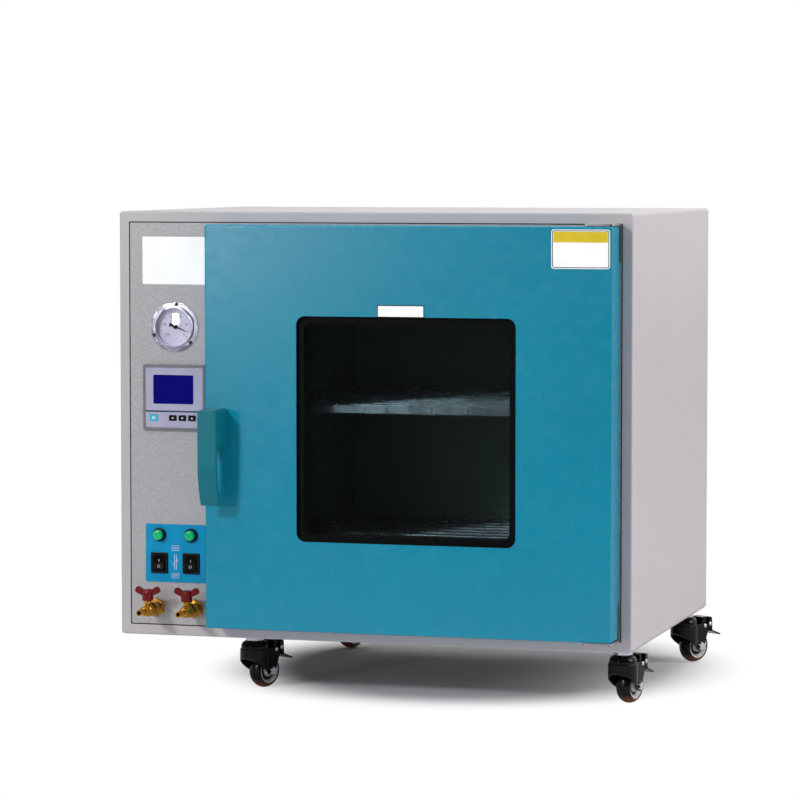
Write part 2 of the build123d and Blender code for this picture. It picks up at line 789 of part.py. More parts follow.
def gauge_needle():
    """Return the pointer: a tapered blade, a wide tail and a hub on the centre post."""
    front = needle_front()
    back = front + needle_thickness
    blade = make_face(Polyline((0, 1.1), (needle_length, 0.3), (needle_length, -0.3), (0, -1.1), close=True))
    tail = make_face(Polyline((0, 0.9), (-needle_tail, 2.6), (-needle_tail, -2.6), (0, -0.9), close=True))
    outline = Pos(column_x, gauge_height) * Rot(0, 0, needle_rest_angle) * (blade + tail)
    needle = from_back(outline, back, needle_thickness)
    needle += disc(needle_hub_radius, column_x, gauge_height, front - 0.6, back)
    return needle - disc(0.9, column_x, gauge_height, front, back + 1)


# ---- Controller ----
def controller_case():
    """Return the controller's bezel and housing, with a sunk face and its button wells."""
    x = column_x
    z = controller_height
    bezel = from_back(rounded(controller_size, controller_size, 3, x, z), 0, controller_bezel)
    rim = bezel.edges().filter_by_position(Axis.Y, -controller_bezel - 0.01, -controller_bezel + 0.01)
    bezel = fillet(rim, 1.2)
    case = bezel + from_back(rounded(controller_body, controller_body, 1.2, x, z), controller_depth, controller_depth)
    face_front = -controller_bezel - 1
    case -= from_back(rounded(controller_face_size, controller_face_size, 2, x, z),
                      face_front + 1 + controller_face_inset, controller_face_inset + 1)
    case -= from_back(display_outline(0.1), controller_face() + display_thickness, display_thickness + 1)
    for name in button_places:
        case -= from_back(button_outline(name, button_clearance), controller_face() + button_depth + button_travel,
                          button_depth + button_travel + 1)
    return case


def controller_face():
    """Return the depth of the controller's sunk face."""
    return controller_face_inset - controller_bezel


def display_outline(grow):
    """Return the display window's outline, grown on every side."""
    return rounded(display_width + 2 * grow, display_height + 2 * grow, 1.5,
                   column_x + display_offset[0], controller_height + display_offset[1])


def controller_display():
    """Return the display window, flush with the sunk face."""
    return from_back(display_outline(0), controller_face() + display_thickness, display_thickness)


def button_outline(name, grow):
    """Return a button's outline, grown on every side."""
    width, height = button_sizes[name]
    return rounded(width + 2 * grow, height + 2 * grow, 1.2, column_x + button_places[name],
                   controller_height + button_row)


def controller_button(name):
    """Return one push button, standing just proud of the face."""
    front = controller_face() - button_stand
    body = from_back(button_outline(name, 0), front + button_depth, button_depth)
    rim = body.edges().filter_by_position(Axis.Y, front - 0.01, front + 0.01)
    return fillet(rim, 0.5)


# ---- Lamps and switches ----
def indicator_plate():
    """Return the coloured plate behind the lamps and switches."""
    plate = from_back(rounded(indicator_width, indicator_height, 1.5, column_x, indicator_centre_height),
                      0, indicator_sheet)
    for side in (-1, 1):
        x = column_x + side * pair_pitch / 2
        plate -= disc(lamp_barrel_radius + seat_gap, x, lamp_height, -2, 1)
        hole = rounded(switch_body_width + 2 * seat_gap, switch_body_tall + 2 * seat_gap, 1.5, x, switch_height)
        plate -= from_back(hole, 1, 3)
    return plate


def lamp_bodies():
    """Return the two lamps' barrels with their front rings."""
    lamps = Part()
    for side in (-1, 1):
        x = column_x + side * pair_pitch / 2
        front = -indicator_sheet - lamp_ring_height
        lamp = disc(lamp_ring_radius, x, lamp_height, front, -indicator_sheet)
        lamp = chamfer(lamp.edges().filter_by_position(Axis.Y, front - 0.01, front + 0.01), 1.2)
        lamp += disc(lamp_barrel_radius, x, lamp_height, -indicator_sheet, lamp_barrel_depth)
        lamps += lamp - disc(lamp_lens_radius + 0.1, x, lamp_height, front - 1, -indicator_sheet)
    return lamps


def lamp_lenses():
    """Return the two domed lenses."""
    lenses = Part()
    for side in (-1, 1):
        x = column_x + side * pair_pitch / 2
        front = -indicator_sheet - lamp_lens_height
        lens = disc(lamp_lens_radius, x, lamp_height, front, -indicator_sheet)
        lenses += fillet(lens.edges().filter_by_position(Axis.Y, front - 0.01, front + 0.01), 3.2)
    return lenses


def switch_frames():
    """Return the two rocker switches' frames, each with a well for its rocker."""
    frames = Part()
    for side in (-1, 1):
        x = column_x + side * pair_pitch / 2
        front = -indicator_sheet - switch_flange
        frame = from_back(rounded(switch_width, switch_tall, 1.5, x, switch_height), -indicator_sheet, switch_flange)
        frame = fillet(frame.edges().filter_by_position(Axis.Y, front - 0.01, front + 0.01), 0.6)
        frame += from_back(rounded(switch_body_width, switch_body_tall, 1.2, x, switch_height),
                           switch_body_depth, switch_body_depth + indicator_sheet)
        gap = 2 * rocker_clearance
        well = rounded(rocker_width + gap, rocker_tall + gap, 0.3, x, switch_height)
        frame -= from_back(well, rocker_pivot_depth() + 2 * rocker_stand, switch_body_depth + 4 * rocker_stand)
        line = Pos(x, rocker_pivot_depth(), switch_height) * Rot(0, 90, 0)
        reach = rocker_width + 2 * (rocker_clearance + rocker_pin_reach + rocker_clearance)
        frames += frame - line * Cylinder(rocker_pin_radius + rocker_pin_clearance, reach)
    return frames


def rocker_pivot_depth():
    """Return the depth of the rockers' pivot line."""
    return rocker_stand


def rocker(side):
    """Return a rocker: a shallow V face about its pivot, with its lower half pressed in."""
    x = column_x + side * pair_pitch / 2
    half = rocker_tall / 2 - 0.6
    crown = -indicator_sheet - switch_flange - rocker_stand
    dip = half * sin(radians(rocker_tilt))
    front = crown - rocker_pivot_depth()
    profile = make_face(Polyline(
        (rocker_stand, -half * 0.8), (rocker_stand, half * 0.8), (front + dip + 2, half),
        (front, half), (front + dip, 0), (front, -half), (front + dip + 2, -half), close=True,
    ))
    plane = Plane((x - rocker_width / 2, rocker_pivot_depth(), switch_height), x_dir=(0, 1, 0), z_dir=(1, 0, 0))
    body = extrude(plane * profile, rocker_width)
    line = Pos(x, rocker_pivot_depth(), switch_height) * Rot(0, 90, 0)
    body += line * Cylinder(rocker_pin_radius, rocker_width + 2 * (rocker_clearance + rocker_pin_reach))
    return body.rotate(Axis((x, rocker_pivot_depth(), switch_height), (1, 0, 0)), -rocker_tilt / 2)


# ---- Valves ----
def valve_body(x):
    """Return a brass valve: panel nut, hexagon, turned body, hose spigot and tail."""
    stem = -valve_stem_forward
    spigot_end = -valve_reach
    spigot_start = spigot_end + valve_spigot_length
    line = Pos(x, 0, valve_height)
    body = from_back(Pos(x, valve_height) * Rot(0, 0, 30) * hexagon(valve_nut_flats), 0, valve_nut_length)
    body = chamfer(body.edges().filter_by_position(Axis.Y, -valve_nut_length - 0.01, -valve_nut_length + 0.01), 1.0)
    body += from_back(Pos(x, valve_height) * hexagon(valve_body_flats), -valve_nut_length, valve_body_length)
    body += line * Pos(0, stem, 0) * Sphere(valve_ball_radius)
    body += disc(valve_ball_radius * 0.72, x, valve_height, spigot_start, -valve_nut_length - 1)
    body += disc(valve_spigot_radius, x, valve_height, spigot_end, spigot_start)
    body += disc(valve_tail_radius, x, valve_height, 0, valve_tail_length)
    body += Pos(x, stem, valve_height + valve_neck_top / 2) * Cylinder(valve_neck_radius, valve_neck_top)
    top = valve_height + valve_neck_top
    rise = valve_handle_hub_height * 0.6
    body += Pos(x, stem, top + rise / 2) * Cylinder(valve_stem_radius, rise)
    return body - disc(valve_spigot_bore, x, valve_height, spigot_end - 1, stem + valve_ball_radius * 0.5)


def valve_bodies():
    """Return both valve bodies."""
    return Part() + [valve_body(x) for x in valve_xs.values()]


def valve_handle(x):
    """Return a butterfly handle: a round hub with two raised wings."""
    stem = -valve_stem_forward
    bottom = valve_height + valve_neck_top + seat_gap
    top = bottom + valve_handle_hub_height
    hub = Pos(x, stem, (bottom + top) / 2) * Cylinder(valve_handle_hub_radius, valve_handle_hub_height)
    hub = fillet(hub.edges().group_by(Axis.Z)[-1], valve_handle_crown)
    hub = chamfer(hub.edges().group_by(Axis.Z)[0], 1.0)
    tip = valve_wing_width / 2
    outline = make_face(Polyline((0, -valve_wing_root / 2), (valve_wing_reach, -tip), (valve_wing_reach, tip),
                                 (0, valve_wing_root / 2), close=True))
    outline = fillet(outline.vertices().sort_by(Axis.X)[-2:], valve_wing_round)
    wing = raised_sideways(outline, -valve_wing_thickness / 2, valve_wing_thickness)
    wing = chamfer(wing.faces().filter_by(Axis.Y).edges(), 0.8)
    root = Pos(x, stem, bottom + valve_handle_hub_height * 0.48)
    for turn in (0, 180):
        hub += root * Rot(0, 0, turn) * Rot(0, -valve_wing_rise, 0) * wing
    rise = valve_handle_hub_height * 0.6 + seat_gap
    bore = Cylinder(valve_stem_radius + valve_running_clearance, rise)
    return hub - Pos(x, stem, bottom + rise / 2 - 0.01) * bore


def pipe(points):
    """Return a bent tube along the given points."""
    path = FilletPolyline(*points, radius=pipe_bend)
    section = Plane(origin=path @ 0, z_dir=path % 0) * (Circle(pipe_radius) - Circle(pipe_bore))
    return sweep(section, path=path)


def pipes():
    """Return the three inner pipes: vacuum valve, air valve and gauge to the chamber."""
    wall = chamber_left - chamber_wall
    runs = Part()
    for name, depth, port in (("vacuum", vacuum_pipe_depth, vacuum_port_height),
                              ("air", air_pipe_depth, air_port_height)):
        x = valve_xs[name]
        runs += pipe([(x, valve_tail_length, valve_height), (x, depth, valve_height),
                      (x, depth, port), (wall, depth, port)])
    start = gauge_case_depth + gauge_tail_length
    runs += pipe([(column_x, start, gauge_height), (column_x, gauge_pipe_depth, gauge_height),
                  (wall, gauge_pipe_depth, gauge_height)])
    return runs


def power_inlet():
    """Return the rear mains inlet: flange, body, socket well and three pins."""
    front = cabinet_depth + inlet_flange
    inlet = from_back(rounded(inlet_width, inlet_tall, 4, inlet_x, inlet_height), front, inlet_flange)
    inlet += from_back(rounded(inlet_body_width, inlet_body_tall, 3, inlet_x, inlet_height),
                       cabinet_depth, inlet_body_depth)
    inlet -= from_back(rounded(inlet_socket_width, inlet_socket_tall, 3, inlet_x, inlet_height),
                       front + 1, inlet_socket_depth + 1)
    floor = front - inlet_socket_depth
    for column, row in ((-0.5, -0.25), (0, 0.25), (0.5, -0.25)):
        x = inlet_x + column * inlet_pin_pitch
        z = inlet_height + row * inlet_socket_tall
        inlet += block((x - inlet_pin_thickness / 2, x + inlet_pin_thickness / 2),
                       (floor - 1, floor + inlet_pin_length),
                       (z - inlet_pin_width / 2, z + inlet_pin_width / 2))
    for side in (-1, 1):
        inlet -= disc(1.8, inlet_x + side * (inlet_width / 2 - 6), inlet_height, cabinet_depth - 1, front + 1)
    return inlet


# ---- Casters, drawn about the swivel axis with the trail along x ----
def caster_stem():
    """Return the fixed stem: bolt, nut above the base plate, nut and washer below, raceway head."""
    top = cabinet_sheet + stem_above
    head = hood_roof() - seat_gap
    stem = Pos(0, 0, (top + head) / 2) * Cylinder(stem_radius, top - head)
    stem += Pos(0, 0, -stem_washer_thickness) * extrude(Circle(stem_washer_radius), stem_washer_thickness)
    stem += Pos(0, 0, -stem_nut_height) * extrude(hexagon(stem_nut_flats), stem_nut_height)
    stem += Pos(0, 0, cabinet_sheet) * extrude(hexagon(stem_nut_flats), stem_above * 0.6)
    plate = Circle(stem_radius + stem_head_lip)
    return stem + Pos(0, 0, head - stem_head_thickness) * extrude(plate, stem_head_thickness)


def hood_top():
    """Return the height of the hood's crown, just under the nut."""
    return -stem_nut_height - hood_gap


def hood_roof():
    """Return the height of the underside of the hood's crown."""
    return hood_top() - hood_crown_thickness


def fork_floor():
    """Return the height of the hood's lower rim, above the wheel."""
    return hood_top() - hood_height


def fork_top():
    """Return the height of the fork's flat shoulder, behind the hood."""
    return hood_top() - fork_shoulder


def caster_fork():
    """Return the pressed fork: the raceway hood on a skirted fork, the pedal's pin and the axle bolt."""
    top = hood_top()
    roof = hood_roof()
    low = fork_floor()
    waist = top - hood_lobe_height
    neck = hood_radius - hood_groove
    outline = Line((0, top), (hood_top_radius, top))
    outline += ThreePointArc((hood_top_radius, top), (neck - hood_groove, top - hood_lobe_height * 0.4), (neck, waist))
    outline += Polyline((neck, waist), (neck, low), (0, low), (0, top))
    hood = revolve(Plane.XZ * make_face(outline), Axis.Z)
    fork = hood + fork_shell()
    fork -= Pos(0, 0, roof - raceway_lip) * extrude(Circle(stem_radius + raceway_room), raceway_lip)
    fork -= Pos(0, 0, roof - 1) * extrude(Circle(stem_radius + stem_clearance), hood_crown_thickness + 2)
    fork -= Pos(0, 0, low - 1) * extrude(Circle(stem_radius + raceway_room), roof - low + 1)
    for side in (-1, 1):
        fork += rivet_head(side, fork_inside / 2 + fork_sheet, *pedal_pivot)
    fork += disc(pedal_pin_radius, *pedal_pivot, -fork_inside / 2 - fork_sheet / 2, fork_inside / 2 + fork_sheet / 2)
    return fork + fork_axle()


def fork_plan(half, radius):
    """Return the fork seen from above: a round nose about the swivel with a straight tail."""
    tail = pedal_pivot[0] + fork_back
    return Circle(radius) + Pos(tail / 2, 0) * Rectangle(tail, 2 * half)


def fork_shell():
    """Return the folded sheet: round nose, flat shoulder and two cheeks drawn in to the axle."""
    top = fork_top()
    foot = -axle_drop - fork_round
    half = fork_inside / 2
    back = pedal_pivot[0] + fork_back
    shell = Pos(0, 0, foot) * extrude(fork_plan(half + fork_sheet, hood_radius), top - foot)
    shell = fillet(shell.faces().sort_by(Axis.Z)[-1].outer_wire().edges(), fork_bend)
    inside = fork_plan(half, hood_radius - fork_sheet)
    shell -= Pos(0, 0, foot - 1) * extrude(inside, top - fork_sheet - foot + 1)
    shell -= block((fork_plate_end, back + 1), (-half, half), (foot - 1, top + 1))
    corners = Polyline((-hood_radius, top - fork_nose_drop), (-hood_radius, top), (back, top),
                       (back, top - fork_back_drop))
    side = make_hull(corners.edges() + (Pos(caster_trail, -axle_drop) * Circle(fork_round)).edges())
    return shell & raised_sideways(side, -hood_radius, 2 * hood_radius)


def rivet_head(side, face, x, z):
    """Return a low rivet head on the outside of a cheek whose face is at that distance."""
    near = side * (face - pedal_rivet_height / 2)
    far = side * (face + pedal_rivet_height)
    head = disc(pedal_rivet_radius, x, z, min(near, far), max(near, far))
    return chamfer(head.edges().filter_by_position(Axis.Y, far - 0.01, far + 0.01), pedal_rivet_height / 2)


def fork_axle():
    """Return the axle bolt across the fork, with its hexagon head and nut."""
    x = caster_trail
    z = -axle_drop
    rim = fork_inside / 2 + fork_sheet
    axle = disc(axle_radius, x, z, -rim, rim)
    head = Pos(x, z) * hexagon(axle_head_flats)
    sunk = fork_sheet / 4
    axle += from_back(head, sunk - rim, axle_head_height + sunk)
    return axle + from_back(head, rim + axle_head_height, axle_head_height + sunk)


def wheel_part(outline):
    """Return a wheel part turned about the axle from its half section."""
    turned = revolve(Plane.XZ * make_face(outline), Axis.X)
    return Pos(caster_trail, 0, -axle_drop) * Rot(0, 0, 90) * turned


def caster_tyre():
    """Return the crowned tyre, seated on the rim."""
    half = wheel_width / 2
    shoulder = wheel_radius - tyre_crown
    outline = ThreePointArc((-half, shoulder), (0, wheel_radius), (half, shoulder))
    outline += Polyline((half, shoulder), (half, rim_radius), (-half, rim_radius), (-half, shoulder))
    return wheel_part(outline)


def caster_rim():
    """Return the dished rim with its hub and bore."""
    half = rim_width / 2
    bore = axle_radius + axle_clearance
    web = half - rim_dish
    lip = rim_radius - rim_lip
    end = half + hub_stand
    outline = Polyline(
        (-half, rim_radius), (half, rim_radius), (half, lip), (web, lip - rim_slope),
        (web, hub_radius + hub_slope), (end, hub_radius), (end, bore),
        (-end, bore), (-end, hub_radius), (-web, hub_radius + hub_slope),
        (-web, lip - rim_slope), (-half, lip), close=True,
    )
    return wheel_part(outline)


def caster_pedal():
    """Return the brake pedal: a bent foot plate with flanges and two inner cheeks, and the brake pad."""
    px, pz = pedal_pivot
    top = hood_top() - hood_groove
    knee = px + pedal_knee
    middle = top - pedal_plate / 2
    bend = FilletPolyline((pedal_start, middle), (knee, middle), (knee + 1, pz - pedal_drop),
                          (pedal_reach, pz - pedal_tip_drop), radius=pedal_bend)
    half = pedal_width / 2
    foot = raised_sideways(trace(bend, pedal_plate), -half, pedal_width)
    narrow = pedal_inside / 2 + pedal_cheek
    flange_start = px + pedal_flange_start
    for side in (-1, 1):
        near = side * narrow
        far = side * pedal_width
        foot -= block((0, flange_start), (min(near, far), max(near, far)), (pz - pedal_drop, 0))
    flange = make_face(Polyline((flange_start, middle), (knee, middle), (knee + 1, pz - pedal_drop + 1),
                                (flange_start + pedal_flange_drop, pz - pedal_drop + 2),
                                (flange_start, pz - pedal_flange_drop), close=True))
    cheek = make_face(Polyline((px - 3.5, pz - 3), (px - 3.5, pz + 3), (px + 2, middle), (knee, middle),
                               (knee + 1, pz - pedal_pad_drop - 3), (px + 8, pz - pedal_pad_drop - 3), close=True))
    cheek = fillet(cheek.vertices(), 0.8)
    rivet_x = px + pedal_rivet_back
    rivet_z = pz + pedal_rivet_rise
    for side in (-1, 1):
        foot += raised_sideways(flange, min(side * half, side * (half - pedal_cheek)), pedal_cheek)
        foot += raised_sideways(cheek, min(side * narrow, side * pedal_inside / 2), pedal_cheek)
        foot += rivet_head(side, half, rivet_x, rivet_z)
    pad = px + pedal_pad_start
    foot += block((pad, pad + pedal_pad_length), (-narrow + 1, narrow - 1),
                  (pz - pedal_pad_drop - pedal_pad_thickness, pz - pedal_pad_drop))
    return foot - disc(pedal_pin_radius + pedal_pin_clearance, px, pz, -pedal_width, pedal_width)


def at_caster(name, shape):
    """Return a caster piece turned and moved to its corner."""
    x, y = caster_places[name]
    return Pos(x, y, 0) * Rot(0, 0, caster_angles[name]) * shape


def caster_stems():
    """Return the four fixed stems."""
    return Part() + [at_caster(name, caster_stem()) for name in caster_places]


# ---- Every sub-part by name ----
def sub_parts():
    """Return each sub-part's shape by its node name, about the cabinet's own datum."""
    parts = {
        "cabinet_shell": cabinet_shell(),
        "rear_panel": rear_panel(),
        "base_plate": base_plate(),
        "front_panel": front_panel(),
        "inner_chamber": inner_chamber(),
        "heater_plates": heater_plates(),
        "insulation": insulation(),
        "temperature_sensor": temperature_sensor(),
        "shelf_rails": shelf_rails(),
        "door_gasket": door_gasket(),
        "hinge_brackets": hinge_brackets(),
        "striker_plate": striker_plate(),
        "door_shell": door_shell(),
        "door_inner_frame": door_inner_frame(),
        "window_guard": window_guard(),
        "window_spacer": window_spacer(),
        "safety_glass": safety_glass(),
        "handle_block": handle_block(),
        "handle_lever": handle_lever(),
        "latch_shaft": latch_shaft(),
        "gauge_case": gauge_case(),
        "gauge_dial": gauge_dial(),
        "gauge_lens": gauge_lens(),
        "gauge_needle": gauge_needle(),
        "controller_case": controller_case(),
        "controller_display": controller_display(),
        "indicator_plate": indicator_plate(),
        "lamp_bodies": lamp_bodies(),
        "lamp_lenses": lamp_lenses(),
        "switch_frames": switch_frames(),
        "rocker_left": rocker(-1),
        "rocker_right": rocker(1),
        "valve_bodies": valve_bodies(),
        "pipes": pipes(),
        "power_inlet": power_inlet(),
        "caster_stems": caster_stems(),
    }
    for name, rise in shelf_heights.items():
        parts[f"shelf_{name}"] = shelf(rise)
    for name in button_places:
        parts[f"button_{name}"] = controller_button(name)
    for name, x in valve_xs.items():
        parts[f"valve_handle_{name}"] = valve_handle(x)
    makers = {"fork": caster_fork, "tyre": caster_tyre, "rim": caster_rim, "pedal": caster_pedal}
    for piece, maker in makers.items():
        shape = maker()
        for name in caster_places:
            parts[f"caster_{piece}_{name}"] = at_caster(name, shape)
    return parts


def main():
    """Write one STEP file for each sub-part."""
    os.makedirs("parts", exist_ok=True)
    for name, shape in sub_parts().items():
        export_step(to_floor_origin * shape, f"parts/{name}.step")


if __name__ == "__main__":
    main()
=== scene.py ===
"""Looks for a vacuum drying oven on four braked casters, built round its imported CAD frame.

Every length is in millimetres about the cabinet's datum (x right, y back from the front face, z up
from the underside) until Datum turns it into metres in the row's frame.
"""

import json
import logging
import math
from dataclasses import dataclass, field
from enum import Enum
from typing import Sequence

import bmesh
import bpy
from mathutils import Matrix, Vector


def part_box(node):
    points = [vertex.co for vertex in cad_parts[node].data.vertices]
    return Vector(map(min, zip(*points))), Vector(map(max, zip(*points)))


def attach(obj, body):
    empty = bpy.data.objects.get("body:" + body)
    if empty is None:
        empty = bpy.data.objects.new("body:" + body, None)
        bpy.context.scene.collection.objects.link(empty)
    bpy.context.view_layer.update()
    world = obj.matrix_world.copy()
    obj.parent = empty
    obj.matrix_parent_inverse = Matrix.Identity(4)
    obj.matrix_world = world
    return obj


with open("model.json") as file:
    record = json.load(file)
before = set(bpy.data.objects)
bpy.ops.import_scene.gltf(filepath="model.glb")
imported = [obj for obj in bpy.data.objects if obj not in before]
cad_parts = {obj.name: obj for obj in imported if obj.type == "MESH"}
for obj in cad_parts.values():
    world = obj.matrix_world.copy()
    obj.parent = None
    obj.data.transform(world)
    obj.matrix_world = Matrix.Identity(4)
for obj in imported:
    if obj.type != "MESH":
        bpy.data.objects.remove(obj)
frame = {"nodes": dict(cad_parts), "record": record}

log = logging.getLogger("vacuum_oven")

Piece = bpy.types.Object
Socket = bpy.types.NodeSocket
Material = bpy.types.Material
Pair = tuple[float, float]
Triple = tuple[float, float, float]
Four = tuple[float, float, float, float]
Profile = tuple[Pair, ...]

MM = 0.001
CABINET_WIDTH = 766.0
PRINT = 0.1  # how thick a printed mark is
CUTTER = 3.0  # how thick a cutter is, so that it goes right through a sheet


class Axis(Enum):
    """The ways that a round piece or a line of print may face."""

    FORWARD = (math.pi / 2, 0.0, 0.0)
    BACKWARD = (-math.pi / 2, 0.0, 0.0)


@dataclass(frozen=True)
class Datum:
    """The cabinet's own corner of the frame, which all the sizes are measured from."""

    origin: Vector

    @classmethod
    def from_frame(cls) -> "Datum":
        """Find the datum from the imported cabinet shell."""
        low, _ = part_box("cabinet_shell")
        return cls(Vector((low.x + CABINET_WIDTH / 2 * MM, low.y, low.z)))

    def at(self, x: float, y: float, z: float) -> Vector:
        """Return the place of a point in metres.

        Args:
            x: millimetres to the right of the cabinet's middle.
            y: millimetres back from the front face.
            z: millimetres up from the underside.

        Returns:
            The point in the row's frame.
        """
        return self.origin + Vector((x, y, z)) * MM


def heading(azimuth: float, elevation: float) -> Vector:
    """Return the direction of an azimuth, positive to the right, and an elevation in degrees."""
    turn, rise = math.radians(azimuth), math.radians(elevation)
    level = math.cos(rise)
    return Vector((math.sin(turn) * level, -math.cos(turn) * level, math.sin(rise)))


# ---------------------------------------------------------------- node helpers

NOISE_BAND = (0.3, 0.7)


def linear(red: int, green: int, blue: int) -> Four:
    """Return a display colour, 0 to 255, as a linear colour with full alpha."""
    def one(value: int) -> float:
        """Return one channel as linear light."""
        share = value / 255
        return share / 12.92 if share <= 0.04045 else ((share + 0.055) / 1.055) ** 2.4

    return (one(red), one(green), one(blue), 1.0)


def shade(colour: Sequence[float], factor: float) -> Four:
    """Return a linear colour made darker or lighter."""
    return tuple(min(1.0, channel * factor) for channel in colour[:3]) + (1.0,)


class Nodes:
    """A short way to lay out the nodes of a material or of the world."""

    def __init__(self, tree: bpy.types.NodeTree) -> None:
        """Empty a node tree and keep it.

        Args:
            tree: the material's or the world's tree.
        """
        self.tree = tree
        tree.nodes.clear()

    def node(self, kind: str, **values: object) -> bpy.types.Node:
        """Add a node and set its properties and input values.

        Args:
            kind: the node's type.
            values: properties by name, or inputs by name with underscores for spaces.

        Returns:
            The new node.
        """
        made = self.tree.nodes.new(kind)
        for key, value in values.items():
            if hasattr(made, key):
                setattr(made, key, value)
            else:
                made.inputs[key.replace("_", " ")].default_value = value
        return made

    def link(self, source: Socket, target: Socket) -> None:
        """Join one socket to another."""
        self.tree.links.new(source, target)

    def math(self, operation: str, *values: Socket | float) -> Socket:
        """Work out a value from sockets and numbers.

        Args:
            operation: the math node's operation.
            values: what goes into it, in order.

        Returns:
            The socket that gives the result.
        """
        made = self.node("ShaderNodeMath", operation=operation)
        for socket, value in zip(made.inputs, values):
            if isinstance(value, Socket):
                self.link(value, socket)
            else:
                socket.default_value = value
        return made.outputs[0]

    def remap(self, factor: Socket, ends: Sequence[float],
              smooth: bool = False) -> Socket:
        """Map a factor from one range to another, and hold it at the ends.

        Args:
            factor: the socket that is mapped.
            ends: where it starts and ends, then what that becomes if it isn't 0 and 1.
            smooth: whether it eases at both ends.

        Returns:
            The mapped socket.
        """
        made = self.node("ShaderNodeMapRange", clamp=True)
        made.interpolation_type = "SMOOTHSTEP" if smooth else "LINEAR"
        for key, value in zip(("From Min", "From Max", "To Min", "To Max"), ends):
            made.inputs[key].default_value = value
        self.link(factor, made.inputs["Value"])
        return made.outputs["Result"]

    def seen(self, first: str, *others: str) -> Socket:
        """Return 1 on rays of any of the named kinds."""
        path = self.node("ShaderNodeLightPath")
        total = path.outputs[first]
        for kind in others:
            total = self.math("MAXIMUM", total, path.outputs[kind])
        return total

    def mixed(self, factor: Socket, first: Socket,
              second: Socket) -> Socket:
        """Return one shader where the factor is 0 and another where it is 1."""
        made = self.node("ShaderNodeMixShader")
        for source, target in zip((factor, first, second), made.inputs):
            self.link(source, target)
        return made.outputs["Shader"]


class Graph(Nodes):
    """The nodes of a material, with its shader and its output."""

    def __init__(self, name: str) -> None:
        """Make an empty node material with its output and shader.

        Args:
            name: the material's name.
        """
        self.material = bpy.data.materials.new(name)
        self.material.use_nodes = True
        super().__init__(self.material.node_tree)
        self.output = self.node("ShaderNodeOutputMaterial")
        self.shader = self.node("ShaderNodeBsdfPrincipled")
        self.surface(self.shader.outputs["BSDF"])
        self.place = self.node("ShaderNodeTexCoord").outputs["Object"]

    def surface(self, shader: Socket) -> None:
        """Make a shader the material's surface."""
        self.link(shader, self.output.inputs["Surface"])

    def scaled(self, scale: Sequence[float]) -> Socket:
        """Return object coordinates stretched by a factor along each axis."""
        mapping = self.node("ShaderNodeMapping")
        mapping.inputs["Scale"].default_value = tuple(scale)
        self.link(self.place, mapping.inputs["Vector"])
        return mapping.outputs["Vector"]

    def noise(self, scale: float, detail: float = 3.0,
              stretch: Sequence[float] = (1, 1, 1)) -> Socket:
        """Return a noise pattern in object space.

        Args:
            scale: how many features there are in a metre.
            detail: octaves of finer noise.
            stretch: factors along each axis before the noise.

        Returns:
            The noise factor socket.
        """
        made = self.node("ShaderNodeTexNoise", Scale=scale, Detail=detail)
        self.link(self.scaled(stretch), made.inputs["Vector"])
        return made.outputs["Fac"]

    def blend(self, factor: Socket, low: Sequence[float], high: Sequence[float],
              ends: Sequence[float] = NOISE_BAND) -> None:
        """Colour the shader from one colour to another.

        Args:
            factor: the socket that it follows.
            low: the colour where the factor is low.
            high: the colour where it is high.
            ends: the factors that the two colours belong to.
        """
        made = self.node("ShaderNodeValToRGB")
        for element, position, colour in zip(made.color_ramp.elements, ends, (low, high)):
            element.position = position
            element.color = colour
        self.link(factor, made.inputs["Fac"])
        self.link(made.outputs["Color"], self.shader.inputs["Base Color"])

    def gloss(self, factor: Socket, roughness: float, least: float, most: float) -> None:
        """Vary the shader's roughness along a noise, between two shares of it."""
        spread = self.remap(factor, (*NOISE_BAND, roughness * least, roughness * most))
        self.link(spread, self.shader.inputs["Roughness"])

    def bump(self, height: Socket, strength: float, distance: float) -> None:
        """Add a bump to the shader."""
        made = self.node("ShaderNodeBump", Strength=strength, Distance=distance)
        self.link(height, made.inputs["Height"])
        self.link(made.outputs["Normal"], self.shader.inputs["Normal"])

    def set(self, **values: float) -> None:
        """Set the shader's own input values by name, with underscores for spaces."""
        for key, value in values.items():
            self.shader.inputs[key.replace("_", " ")].default_value = value


# ---------------------------------------------------------------- finishes


@dataclass(frozen=True)
class Finish:
    """A finish: a name, a colour and how it is made into a material."""

    name: str
    colour: Four

    def material(self) -> Material:
        """Return the finish's material, made the first time it is asked for."""
        found = bpy.data.materials.get(self.title)
        return found or self.make()

    @property
    def title(self) -> str:
        """Return the material's own name, apart from the plain one that the frame brings."""
        return f"{self.name}_finish"

    def shades(self, low: float, high: float) -> tuple[Sequence[float], Sequence[float]]:
        """Return the finish's colour by two factors."""
        return shade(self.colour, low), shade(self.colour, high)

    def make(self) -> Material:
        """Build the material's nodes."""
        raise NotImplementedError


@dataclass(frozen=True)
class Paint(Finish):
    """Sprayed enamel with orange peel, faint cloudiness and an uneven gloss."""

    roughness: float = 0.35
    peel: float = 0.12
    peel_scale: float = 420.0
    peel_depth: float = 0.0006
    cloud: float = 0.06
    specular: float = 0.5

    def make(self) -> Material:
        """Build the enamel."""
        graph = Graph(self.title)
        graph.blend(graph.noise(9.0, 4.0), *self.shades(1 - self.cloud, 1 + self.cloud))
        graph.gloss(graph.noise(60.0, 5.0), self.roughness, 0.85, 1.15)
        graph.bump(graph.noise(self.peel_scale, 2.0), self.peel, self.peel_depth)
        graph.set(Specular_IOR_Level=self.specular)
        return graph.material


